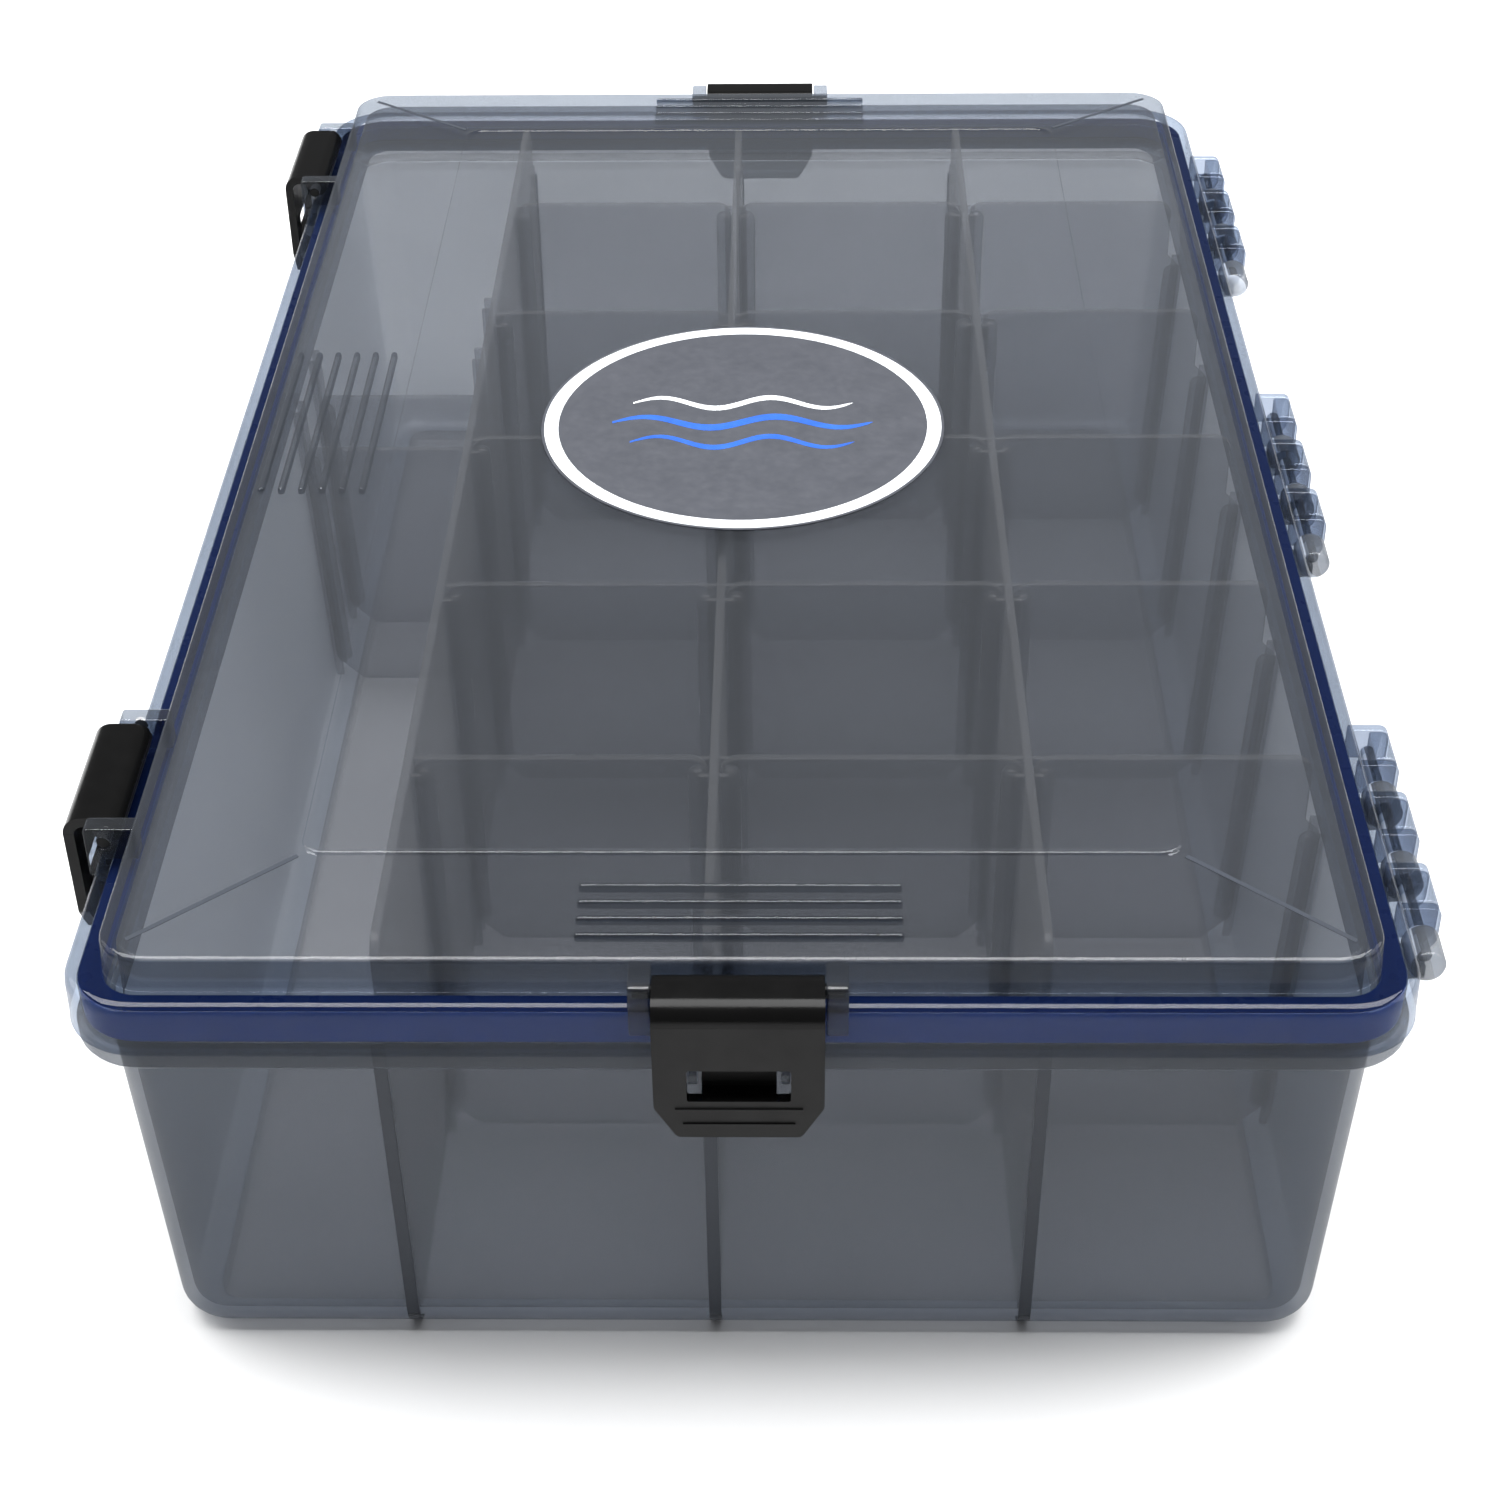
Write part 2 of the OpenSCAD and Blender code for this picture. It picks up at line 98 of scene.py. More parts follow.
def ring(half_x, half_y, radius, z):
    """Points of a level rounded rectangle about the Z axis."""
    points = []
    for corner, (side_x, side_y) in enumerate(((1, 1), (-1, 1), (-1, -1), (1, -1))):
        centre_x = side_x * (half_x - radius)
        centre_y = side_y * (half_y - radius)
        for step in range(CORNER_STEPS + 1):
            angle = math.pi / 2 * (corner + step / CORNER_STEPS)
            points.append((centre_x + radius * math.cos(angle), centre_y + radius * math.sin(angle), z))
    return points


def flange_ring(inset, radius, z):
    """A ring at one inset from all four faces of the flange."""
    return ring(FLANGE_X - inset, FLANGE_Y - inset, radius, z)


def dome_ring(inset, radius, z):
    """A ring at one inset from all four walls of the dome."""
    return ring(DOME_X - inset, DOME_Y - inset, radius, z)


def quarter(radius, degrees):
    """Steps of a rounded edge: how far each lies from the upright face and from the level one."""
    steps = []
    for angle in degrees:
        swing = math.radians(angle)
        steps.append((radius * (1 - math.sin(swing)), radius * (1 - math.cos(swing))))
    return steps


def arc(centre, radius, start, end, steps):
    """Points of an arc in a plane, from start to end degrees."""
    points = []
    for step in range(steps + 1):
        angle = math.radians(start + (end - start) * step / steps)
        points.append((centre[0] + radius * math.cos(angle), centre[1] + radius * math.sin(angle)))
    return points


def loft(bm, rings, closed=False):
    """Adds a skin through rings of equal length, capped at both ends unless it closes on itself."""
    rows = [[bm.verts.new(point) for point in points] for points in rings]
    pairs = list(zip(rows, rows[1:]))
    if closed:
        pairs.append((rows[-1], rows[0]))
    for below, above in pairs:
        for i in range(len(below)):
            j = (i + 1) % len(below)
            bm.faces.new((below[i], below[j], above[j], above[i]))
    if not closed:
        bm.faces.new(rows[0][::-1])
        bm.faces.new(rows[-1])


def prism(bm, outline, low, high, place):
    """Adds a solid: a flat outline carried from low to high, where place(u, v, depth) gives its points."""
    loft(bm, [[place(u, v, depth) for u, v in outline] for depth in (low, high)])


def along_y(u, v, depth):
    return (u, depth, v)


def along_x(u, v, depth):
    return (depth, u, v)


def along_z(u, v, depth):
    return (u, v, depth)


def block(bm, low, high):
    """Adds a box between two corners."""
    outline = [(low[0], low[1]), (high[0], low[1]), (high[0], high[1]), (low[0], high[1])]
    prism(bm, outline, low[2], high[2], along_z)


def circle(radius, steps):
    """Points of a circle about the centre of a plane."""
    turns = [2 * math.pi * step / steps for step in range(steps)]
    return [(radius * math.cos(turn), radius * math.sin(turn)) for turn in turns]


def turned(bm, profile, place, steps=32):
    """Adds a solid of revolution. profile holds (distance along, radius), and place(along, a, b) its points."""
    rings = []
    for along, radius in profile:
        rings.append([place(along, a, b) for a, b in circle(radius, steps)])
    loft(bm, rings)


def rounded_rod(length, radius, edge):
    """Profile of a rod centred on zero with rounded ends."""
    half = length / 2
    steps = 5
    first = [(-half + edge * (1 - math.cos(math.pi / 2 * s / steps)),
              radius - edge + edge * math.sin(math.pi / 2 * s / steps)) for s in range(steps + 1)]
    return first + [(-along, r) for along, r in reversed(first)]


def rounded_outline(points, radii, steps=5):
    """Rounds each corner of a flat outline with its own radius."""
    made = []
    count = len(points)
    for i, corner in enumerate(points):
        radius = radii[i]
        here = Vector(corner)
        if radius <= 0:
            made.append(corner)
            continue
        back = (Vector(points[i - 1]) - here).normalized()
        ahead = (Vector(points[(i + 1) % count]) - here).normalized()
        half_angle = back.angle(ahead) / 2
        reach = radius / math.tan(half_angle)
        centre = here + (back + ahead).normalized() * (radius / math.sin(half_angle))
        start = here + back * reach - centre
        end = here + ahead * reach - centre
        sweep = start.angle_signed(end)
        for step in range(steps + 1):
            turn = Matrix.Rotation(-sweep * step / steps, 2)
            made.append(tuple(centre + turn @ start))
    return made


def add_piece(name, bm, body, material, replaces=(), bevel=0.0):
    """Turns a bmesh into a named piece that rides on a body, with soft edges and area-weighted normals."""
    bmesh.ops.recalc_face_normals(bm, faces=bm.faces)
    mesh = bpy.data.meshes.new(name)
    bm.to_mesh(mesh)
    bm.free()
    mesh.materials.append(material)
    for polygon in mesh.polygons:
        polygon.use_smooth = True
    piece = bpy.data.objects.new(name, mesh)
    bpy.context.scene.collection.objects.link(piece)
    if bevel:
        soften = piece.modifiers.new("soften", "BEVEL")
        soften.width = bevel
        soften.segments = 2
        soften.limit_method = "ANGLE"
        soften.angle_limit = BEVEL_ANGLE
    weigh = piece.modifiers.new("weigh", "WEIGHTED_NORMAL")
    weigh.weight = 80
    weigh.keep_sharp = True
    mesh.set_sharp_from_angle(angle=SHARP_ANGLE)
    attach(piece, body)
    if replaces:
        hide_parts(*replaces)
    return piece


# ---------------------------------------------------------------------------
# Materials
# ---------------------------------------------------------------------------


class Nodes:
    """A short way to wire a material's nodes."""

    # The Mix node's colour sockets share their names with others, so they are found by place
    MIX_FIRST, MIX_SECOND, MIX_RESULT = 6, 7, 2

    def __init__(self, name):
        self.material = bpy.data.materials.new(name)
        self.material.use_nodes = True
        self.tree = self.material.node_tree
        self.tree.nodes.clear()
        self.output = self.node("OutputMaterial")
        coordinates = self.node("TexCoord")
        self.place = coordinates.outputs["Object"]
        self.normal = coordinates.outputs["Normal"]

    def node(self, kind, **inputs):
        """Adds a node and fills its inputs, which are named with _ for each space."""
        node = self.tree.nodes.new("ShaderNode" + kind)
        for key, value in inputs.items():
            self.put(node.inputs[key.replace("_", " ")], value)
        return node

    def put(self, socket, value):
        """Links another node's output to a socket, or sets the socket's own value."""
        if isinstance(value, bpy.types.NodeSocket):
            self.tree.links.new(value, socket)
        elif socket.type == "RGBA":
            socket.default_value = (*value, 1)
        else:
            socket.default_value = value

    def math(self, operation, a, b=0.0):
        node = self.node("Math")
        node.operation = operation
        self.put(node.inputs[0], a)
        self.put(node.inputs[1], b)
        return node.outputs[0]

    def noise(self, scale, detail=2.0, stretch=None):
        place = self.place
        if stretch:
            place = self.node("Mapping", Vector=place, Scale=stretch).outputs[0]
        return self.node("TexNoise", Vector=place, Scale=scale, Detail=detail).outputs[0]

    def carry(self, value, first, last, low=0.0, high=1.0):
        """Carries a value from the range first to last into low to high, and holds it there."""
        node = self.node("MapRange", Value=value, From_Min=first, From_Max=last, To_Min=low, To_Max=high)
        return node.outputs[0]

    def spread(self, noise, low, high):
        """Carries a noise value from its usual 0.3 to 0.7 into low to high."""
        return self.carry(noise, 0.3, 0.7, low, high)

    def size_along(self, vector, axis):
        """The size of a vector's share along an axis."""
        return self.math("ABSOLUTE", self.node("SeparateXYZ", Vector=vector).outputs[axis])

    def steep(self, level=0.85, upright=0.5):
        """Goes from 0 on level surfaces to 1 on upright ones, by the size of the normal's Z."""
        return self.carry(self.size_along(self.normal, "Z"), level, upright)

    def inward(self):
        """Goes from 0 on surfaces that face away from the case's centre to 1 on those that face it."""
        dot = self.node("VectorMath")
        dot.operation = "DOT_PRODUCT"
        self.put(dot.inputs[0], self.normal)
        self.put(dot.inputs[1], self.place)
        return self.carry(dot.outputs["Value"], 5 * MM, -5 * MM)

    def along(self, axis, first, last):
        """Goes from 0 where the distance from the centre along an axis is first to 1 where it is last."""
        return self.carry(self.size_along(self.place, axis), first, last)

    def between(self, factor, first, second):
        """Goes from one number to another. A number that is the same all over stays a plain value."""
        if first == second:
            return first
        return self.carry(factor, 0, 1, first, second)

    def blend(self, factor, first, second):
        """Goes from one colour to another. A colour that is the same all over stays a plain value."""
        if first == second:
            return first
        node = self.node("Mix")
        node.data_type = "RGBA"
        self.put(node.inputs[0], factor)
        self.put(node.inputs[self.MIX_FIRST], first)
        self.put(node.inputs[self.MIX_SECOND], second)
        return node.outputs[self.MIX_RESULT]

    def bump(self, height, distance, strength, under=None):
        node = self.node("Bump", Strength=strength, Distance=distance, Height=height)
        if under is not None:
            self.put(node.inputs["Normal"], under)
        return node.outputs[0]

    def principled(self, **inputs):
        return self.node("BsdfPrincipled", **inputs).outputs[0]

    def mix(self, factor, first, second):
        node = self.node("MixShader")
        for socket, value in zip(node.inputs, (factor, first, second)):
            self.put(socket, value)
        return node.outputs[0]

    def finish(self, surface):
        self.put(self.output.inputs["Surface"], surface)
        return self.material


# Painted light: how many times lighter the tub's inward-facing faces are than its outer ones
INNER_PAINTED_LIGHT = 8.5
MOTTLE_LIGHTER = 1.18
FLOOR_MARGIN = (11 * MM, 9 * MM)


def smoked_plastic(name, level_tints, side_tints, heights, covers, bodies, roughness, tub_wall=False):
    """See-through moulded plastic: every surface passes a tinted share of the light and scatters the rest.
    The tints are the light passed by level and by upright surfaces, below and above the two heights;
    where level and upright faces differ, that is painted light and shade, as is the lower gloss on upright
    faces.
    covers are the shares scattered, and bodies the colours, of level surfaces below the heights and of
    all the others. tub_wall counts the margin of the tub's floor among the others, and lightens the
    faces that look inward with painted light."""
    n = Nodes(name)
    normal = n.bump(n.noise(26, 2, (1, 0.35, 1)), 0.00035, 0.3)
    facing = n.node("LayerWeight", Blend=0.5).outputs["Facing"]
    steep = n.steep()
    high = n.along("Z", *heights)
    cloud = n.spread(n.noise(11, 3), 0.92, 1.08)
    slant = n.math("MULTIPLY", n.math("POWER", facing, 3.0), 0.4)
    wall = n.math("MAXIMUM", steep, high)
    if tub_wall:
        for axis, half in (("X", TUB_X), ("Y", TUB_Y)):
            margin = n.along(axis, *(half - inset for inset in FLOOR_MARGIN))
            wall = n.math("MAXIMUM", wall, margin)
    share = n.math("ADD", n.math("MULTIPLY", cloud, n.between(wall, *covers)), slant)
    tint = n.blend(steep, n.blend(high, *level_tints), n.blend(high, *side_tints))
    clear = n.node("BsdfTransparent", Color=tint).outputs[0]
    low_body, high_body = bodies
    lighter = tuple(MOTTLE_LIGHTER * c for c in high_body)
    side_body = n.blend(n.spread(n.noise(7, 2), 0, 1), high_body, lighter)
    if tub_wall:
        # painted light: faces that look inward get a far lighter body colour
        side_body = n.blend(n.inward(), side_body, tuple(INNER_PAINTED_LIGHT * c for c in high_body))
    colour = n.blend(wall, low_body, side_body)
    body = n.principled(Base_Color=colour, Roughness=0.6, Specular_IOR_Level=0.0, Normal=normal)
    layers = n.mix(n.math("MINIMUM", share, 1.0), clear, body)
    rough = n.spread(n.noise(60, 3), roughness * 0.8, roughness * 1.25)
    gloss = n.node("BsdfGlossy", Roughness=rough, Normal=normal).outputs[0]
    edge_gloss = n.math("MULTIPLY", n.math("POWER", facing, 5.0), 0.4)
    # painted shade: upright faces reflect less than level ones
    mirror = n.math("ADD", edge_gloss, n.between(steep, 0.03, 0.012))
    return n.finish(n.mix(mirror, layers, gloss))


def solid_plastic(name, level, upright, roughness, shine, grain, grain_size):
    """Filled moulded plastic with a fine eroded texture. Level and upright faces take different colours as
    painted light and shade, with random mottle on upright faces.
    """
    n = Nodes(name)
    fine = n.noise(grain_size, 3)
    normal = n.bump(fine, grain, 0.6, n.bump(n.noise(40, 2), 0.0002, 0.3))
    upright_only = n.steep(0.3, 0.08)
    # painted shade: level and upright faces take different colours, varied at random on upright faces
    shade_and_mottle = n.math("MULTIPLY", upright_only, n.spread(n.noise(90, 4), 0.85, 1.0))
    wear = n.spread(n.noise(240, 3), roughness * 0.85, roughness * 1.15)
    rough = n.math("MULTIPLY", wear, n.between(upright_only, 0.6, 1.2))
    return n.finish(n.principled(
        Base_Color=n.blend(shade_and_mottle, level, upright), Roughness=rough, Specular_IOR_Level=shine, Normal=normal))


def printed(name, dark, light):
    """Ink or film: flat, semi-gloss, with a faint uneven lay."""
    n = Nodes(name)
    colour = n.blend(n.spread(n.noise(160, 4), 0, 1), dark, light)
    rough = n.spread(n.noise(500, 2), 0.3, 0.42)
    normal = n.bump(n.noise(900, 2), 0.00002, 0.4)
    return n.finish(n.principled(Base_Color=colour, Roughness=rough, Normal=normal))


def floor_material():
    n = Nodes("floor_paper")
    colour = n.blend(n.spread(n.noise(3, 3), 0, 1), (0.69, 0.69, 0.69), (0.72, 0.72, 0.72))
    return n.finish(n.principled(Base_Color=colour, Roughness=0.8))


# The heights between which a moulding's lower shades give way to its upper ones
LID_HEIGHTS = (FLANGE_Z + 0.2 * MM, FLANGE_Z + 1 * MM)
FLOOR_HEIGHTS = (2.5 * MM, 5 * MM)

TUB_SIDE_TINT = (0.78, 0.8, 0.83)
LANE_TINT = (0.87, 0.88, 0.9)
LANE_BODY = (0.29, 0.295, 0.3)
DIVIDER_TINT = (0.86, 0.87, 0.89)
DIVIDER_BODY = (0.24, 0.245, 0.25)

# Painted shade: upright faces above the flange pass less light than the level top, and the flange's level faces
# have a darker body.
lid_smoke = smoked_plastic(
    "lid_smoke", ((0.6, 0.65, 0.72), (0.785, 0.785, 0.79)), ((0.58, 0.62, 0.69), (0.4, 0.44, 0.5)),
    LID_HEIGHTS, (0.01, 0.06), ((0.03, 0.04, 0.06), (0.11, 0.12, 0.135)), 0.055)
# Painted light: the tub's floor has a far lighter body and a smaller scattered share than its walls, and its
# inward faces are lightened.
tub_smoke = smoked_plastic(
    "tub_smoke", ((0.87, 0.88, 0.9), (0.8, 0.82, 0.85)), (TUB_SIDE_TINT, TUB_SIDE_TINT),
    FLOOR_HEIGHTS, (0.22, 0.46), ((0.78, 0.78, 0.78), (0.066, 0.072, 0.081)), 0.16, tub_wall=True)
lane_smoke = smoked_plastic(
    "lane_smoke", (LANE_TINT, LANE_TINT), (LANE_TINT, LANE_TINT),
    FLOOR_HEIGHTS, (0.16, 0.16), (LANE_BODY, LANE_BODY), 0.2)
divider_smoke = smoked_plastic(
    "divider_smoke", (DIVIDER_TINT, DIVIDER_TINT), (DIVIDER_TINT, DIVIDER_TINT),
    FLOOR_HEIGHTS, (0.15, 0.15), (DIVIDER_BODY, DIVIDER_BODY), 0.25)
# Dark joints where the lane walls meet the end walls, and painted shade along the lid's hip creases.
seam_dark_and_crease_shade = solid_plastic(
    "seam_dark_and_crease_shade", (0.04, 0.045, 0.055), (0.035, 0.04, 0.05), 0.3, 0.15, 0.00001, 800)
# Painted shade: the latch's level and rounded faces are darker than its upright ones.
latch_black = solid_plastic(
    "latch_black", (0.0025, 0.0025, 0.0025), (0.007, 0.007, 0.007), 0.36, 0.14, 0.00002, 2600)
# Painted shade: the gasket's level faces are far darker than its upright ones.
gasket_blue = solid_plastic(
    "gasket_blue", (0.005, 0.024, 0.11), (0.05, 0.16, 0.56), 0.5, 0.2, 0.00003, 1200)
film_dark = printed("film_dark", (0.042, 0.045, 0.054), (0.05, 0.053, 0.063))
ink_white = printed("ink_white", (0.58, 0.6, 0.62), (0.62, 0.64, 0.66))
ink_blue = printed("ink_blue", (0.015, 0.07, 0.34), (0.02, 0.09, 0.4))

# ---------------------------------------------------------------------------
# Lid
# ---------------------------------------------------------------------------


FOOT_FILLET_R = 0.2 * MM
DOME_LEAN = 0.3 * MM
FLANGE_EDGE_R = 2.1 * MM
SKIRT_LEAN = 0.35 * MM
# The sloping border ends in a ring this far in from the dome's wall
BORDER_IN = 3.1 * MM
BORDER_R = DOME_R - 1.5 * MM
BORDER_Z = DOME_EDGE_Z + 0.02 * MM


def lid_rings():
    """The lid's skin, from the top of the panel out, round the skirt and back up inside to the panel."""
    rings = []
    # panel and its raised bead
    bead = (
        (-1.3, 0), (-0.9, 0), (-0.5, 0.22), (-0.2, 0.38), (0.2, 0.4), (0.45, 0.2), (0.6, -0.02), (1, -0.04),
    )
    for out, up in bead:
        rings.append(ring(PANEL_X + out * MM, PANEL_Y + out * MM, PANEL_R + out * MM / 2, PANEL_Z + up * MM))
    # dome edge
    rings.append(dome_ring(BORDER_IN, BORDER_R, BORDER_Z))
    for back, down in quarter(DOME_EDGE_R, range(0, 91, 15)):
        rings.append(dome_ring(back, DOME_R - back / 2, DOME_EDGE_Z - down))
    # foot of the dome wall, then the flange and its rounded outer edge
    for up, out in quarter(FOOT_FILLET_R, (0, 30, 60, 90)):
        out += DOME_LEAN
        rings.append(dome_ring(-out, DOME_R + out, FLANGE_Z + up))
    for back, down in quarter(FLANGE_EDGE_R, range(0, 91, 15)):
        back += SKIRT_LEAN
        rings.append(flange_ring(back, FLANGE_R - back, FLANGE_Z - down))
    # skirt, gasket channel and inner lip
    channel_r = FLANGE_R - WALL
    lip_r = channel_r - CHANNEL_WIDE
    lip_in = WALL + CHANNEL_WIDE
    lip_z = PARTING_Z + 1.5 * MM
    soft = 0.3 * MM
    lip_soft = 0.4 * MM
    rings += [flange_ring(*row) for row in (
        (0.12 * MM, FLANGE_R, PARTING_Z + 0.9 * MM),
        (0, FLANGE_R, PARTING_Z + 0.35 * MM),
        (0.35 * MM, FLANGE_R, PARTING_Z),
        (WALL, channel_r, PARTING_Z),
        (WALL, channel_r, gasket_high.z - soft),
        (WALL + soft, channel_r, gasket_high.z),
        (lip_in - soft, lip_r, gasket_high.z),
        (lip_in, lip_r, gasket_high.z - soft),
        (lip_in, lip_r, lip_z + lip_soft),
        (lip_in + lip_soft, lip_r, lip_z),
    )]
    inner_in = WALL - DOME_LEAN
    inner_r = DOME_R - WALL / 2
    rings.append(dome_ring(inner_in - lip_soft, inner_r, lip_z))
    rings.append(dome_ring(inner_in, inner_r, lip_z + lip_soft))
    # up inside the dome
    for back, down in quarter(DOME_EDGE_R, range(90, -1, -15)):
        back += WALL
        rings.append(dome_ring(back, DOME_R - back / 2, DOME_EDGE_Z - WALL - down))
    rings.append(ring(PANEL_X, PANEL_Y, PANEL_R, PANEL_Z - WALL))
    return rings


def border_rib(bm, centre, half_x, half_y):
    """Adds one low rib with round ends and a round top."""
    radius = min(half_x, half_y)
    top = DOME_EDGE_Z + 0.862 * MM
    rows = [(0, DOME_EDGE_Z - 0.5 * MM)]
    rows += [(back, top - drop) for drop, back in quarter(radius, (25, 50, 75))]
    rings = []
    for back, level in rows:
        points = ring(half_x - back, half_y - back, radius - back, level)
        rings.append([(x + centre[0], y + centre[1], z) for x, y, z in points])
    loft(bm, rings)


def border_ribs(bm):
    """Four ribs on each end of the border and six on its latch side."""
    half_wide = 0.65 * MM
    end_y, end_pitch, end_half = 151 * MM, 4.1 * MM, 26.4 * MM
    side_x, side_pitch, side_half = -98 * MM, 4.05 * MM, 28.5 * MM
    for side in (-1, 1):
        for k in range(4):
            border_rib(bm, (0, side * (end_y + end_pitch * k)), end_half, half_wide)
    for k in range(6):
        border_rib(bm, (side_x + side_pitch * k, 1 * MM), half_wide, side_half)


# Each latch: its CAD node, and the turn that carries +X to the way it faces
LATCHES = (
    ("latch_near_end", -90),
    ("latch_far_end", 90),
    ("latch_side_near", 180),
    ("latch_side_far", 180),
)
PIVOT_U = -1.8 * MM
PIVOT_Z = FLANGE_Z + 2.8 * MM
LATCH_W = 27.3 * MM
EAR_T = 3.5 * MM
EAR_R = 3.1 * MM
EAR_GAP = 0.25 * MM
STUB_R = 1.2 * MM
BARREL_R = 2.62 * MM


def latch_seat(node, turn):
    """Carries a latch's own frame, whose +X leads out of the flange face, to its place on the case."""
    low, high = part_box(node)
    centre = (low + high) / 2
    if abs(turn) == 90:
        x, y = 0, math.copysign(FLANGE_Y, centre.y)
    else:
        x, y = -FLANGE_X, centre.y
    return Matrix.Translation((x, y, 0)) @ Matrix.Rotation(math.radians(turn), 4, "Z")


def ear_outline(dome_gap):
    """Side view of an ear: a block from the dome wall over the flange and a little way down its face."""
    low = FLANGE_Z - 0.4 * MM
    foot = FLANGE_Z - 4 * MM
    skin = -0.25 * MM
    back = -dome_gap - 0.6 * MM
    front = PIVOT_U + EAR_R
    top = PIVOT_Z + EAR_R
    edge = 0.7 * MM
    nose = arc((front - edge, top - edge), edge, 90, 0, 4)
    return [(back, low), (back, top), *nose, (front, foot), (skin, foot), (skin, low)]


def star_points(outline, centre, steps):
    """The outline met by rays from a centre: its corners, and as many more as steps asks for."""
    angles = {round(math.atan2(v - centre[1], u - centre[0]), 6) for u, v in outline}
    for step in range(steps):
        angles.add(round(-math.pi + 2 * math.pi * step / steps, 6))
    points = []
    count = len(outline)
    for angle in sorted(angles):
        ray = Vector((math.cos(angle), math.sin(angle)))
        best = None
        for i in range(count):
            a = Vector(outline[i]) - Vector(centre)
            side = Vector(outline[(i + 1) % count]) - Vector(outline[i])
            cross = ray.x * side.y - ray.y * side.x
            if abs(cross) < 1e-15:
                continue
            reach = (a.x * side.y - a.y * side.x) / cross
            share = (a.x * ray.y - a.y * ray.x) / cross
            if reach > 0 and -1e-6 <= share <= 1 + 1e-6 and (best is None or reach > best):
                best = reach
        points.append((angle, best))
    return points


def holed_plate(bm, outline, centre, hole_r, low, high, place):
    """Adds a plate with a round hole through it."""
    rays = star_points(outline, centre, 24)
    rings = []
    for depth, inner in ((low, True), (low, False), (high, False), (high, True)):
        points = []
        for angle, reach in rays:
            far = hole_r if inner else reach
            points.append(place(centre[0] + far * math.cos(angle), centre[1] + far * math.sin(angle), depth))
        rings.append(points)
    loft(bm, rings, closed=True)


def latch_ears(bm, node, turn):
    dome_gap = DOME_IN_Y if abs(turn) == 90 else DOME_IN_X
    seat = latch_seat(node, turn)
    for side in (-1, 1):
        inner = side * (LATCH_W / 2 + EAR_GAP)
        outer = inner + side * EAR_T
        holed_plate(
            bm, ear_outline(dome_gap), (PIVOT_U, PIVOT_Z), STUB_R + 0.08 * MM, inner, outer,
            lambda u, v, depth: seat @ Vector((u, depth, v)),
        )


PIN_NODES = ("hinge_pin_near", "hinge_pin_middle", "hinge_pin_far")
# Each pin's middle lies a little further along than its hinge set's
PIN_AHEAD = 0.9 * MM
HINGE_YS = [(lo.y + hi.y) / 2 - PIN_AHEAD for lo, hi in map(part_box, PIN_NODES)]
LUG_L = 12.8 * MM
TUB_KNUCKLE_L = 6.6 * MM
KNUCKLE_GAP = 0.2 * MM
UNIT_L = LUG_L + TUB_KNUCKLE_L + 2 * KNUCKLE_GAP
SET_HALF = 1.5 * UNIT_L - KNUCKLE_GAP / 2
LUG_TOP_Z = PARTING_Z + 6.5 * MM


def hinge_lug(bm, y):
    """Adds one lug of the lid: two cheeks and an outer bar round an open pocket."""
    bar_r = 1.8 * MM
    out = HINGE_X + KNUCKLE_R
    back = FLANGE_X - 0.6 * MM
    step_z = HINGE_Z - 0.2 * MM
    crown = arc((out - bar_r, LUG_TOP_Z - bar_r), bar_r, 0, 90, 6)
    under = arc((HINGE_X, HINGE_Z), KNUCKLE_R, -90, 0, 8)
    cheek = [(back, step_z), (HINGE_X - 1.6 * MM, step_z)]
    cheek += [(HINGE_X - 1.2 * MM, HINGE_Z - KNUCKLE_R + 0.25 * MM)]
    cheek += under + crown + [(back, LUG_TOP_Z)]
    cheek_t = 2.2 * MM
    for side in (-1, 1):
        end = y + side * LUG_L / 2
        prism(bm, cheek, end, end - side * cheek_t, along_y)
    pocket_x = FLANGE_X + 3 * MM
    bar = [(pocket_x, HINGE_Z - KNUCKLE_R + 0.3 * MM)] + under + crown + [(pocket_x, LUG_TOP_Z)]
    half = LUG_L / 2 - cheek_t
    prism(bm, bar, y - half, y + half, along_y)


def hip_crease_shade(bm):
    """Adds a dark strip of painted shade along the fold line that runs over the border from each corner of the
    panel to the dome's corner.
    """
    half = 0.45 * MM
    lift = Vector((0, 0, 0.05 * MM))
    # a corner's arc stands in from its square corner by about 0.29 of its radius
    corner_in = BORDER_IN + 0.29 * BORDER_R
    start_out = 0.8 * MM
    for side_x in (-1, 1):
        for side_y in (-1, 1):
            start = Vector((side_x * (PANEL_X + start_out), side_y * (PANEL_Y + start_out), PANEL_Z))
            end = Vector((side_x * (DOME_X - corner_in), side_y * (DOME_Y - corner_in), BORDER_Z))
            across = (end - start).cross(Vector((0, 0, 1))).normalized() * half
            rings = []
            for point in (start, end):
                low = point - lift
                high = point + lift
                rings.append([low - across, low + across, high + across, high - across])
            loft(bm, rings)


def make_lid():
    bm = bmesh.new()
    # Painted shade: a dark strip along each hip crease of the border
    hip_crease_shade(bm)
    add_piece("lid_hip_creases", bm, "lid", seam_dark_and_crease_shade)
    bm = bmesh.new()
    loft(bm, lid_rings())
    add_piece("lid_shell", bm, "lid", lid_smoke, ["lid"])
    bm = bmesh.new()
    border_ribs(bm)
    add_piece("lid_border_ribs", bm, "lid", lid_smoke)
    bm = bmesh.new()
    for node, turn in LATCHES:
        latch_ears(bm, node, turn)
    add_piece("lid_latch_ears", bm, "lid", lid_smoke, bevel=0.35 * MM)
    bm = bmesh.new()
    for y0 in HINGE_YS:
        for k in range(3):
            hinge_lug(bm, y0 + SET_HALF - k * UNIT_L - LUG_L / 2)
    add_piece("lid_hinge_lugs", bm, "lid", lid_smoke, bevel=0.4 * MM)


# ---------------------------------------------------------------------------
# Tub
# ---------------------------------------------------------------------------


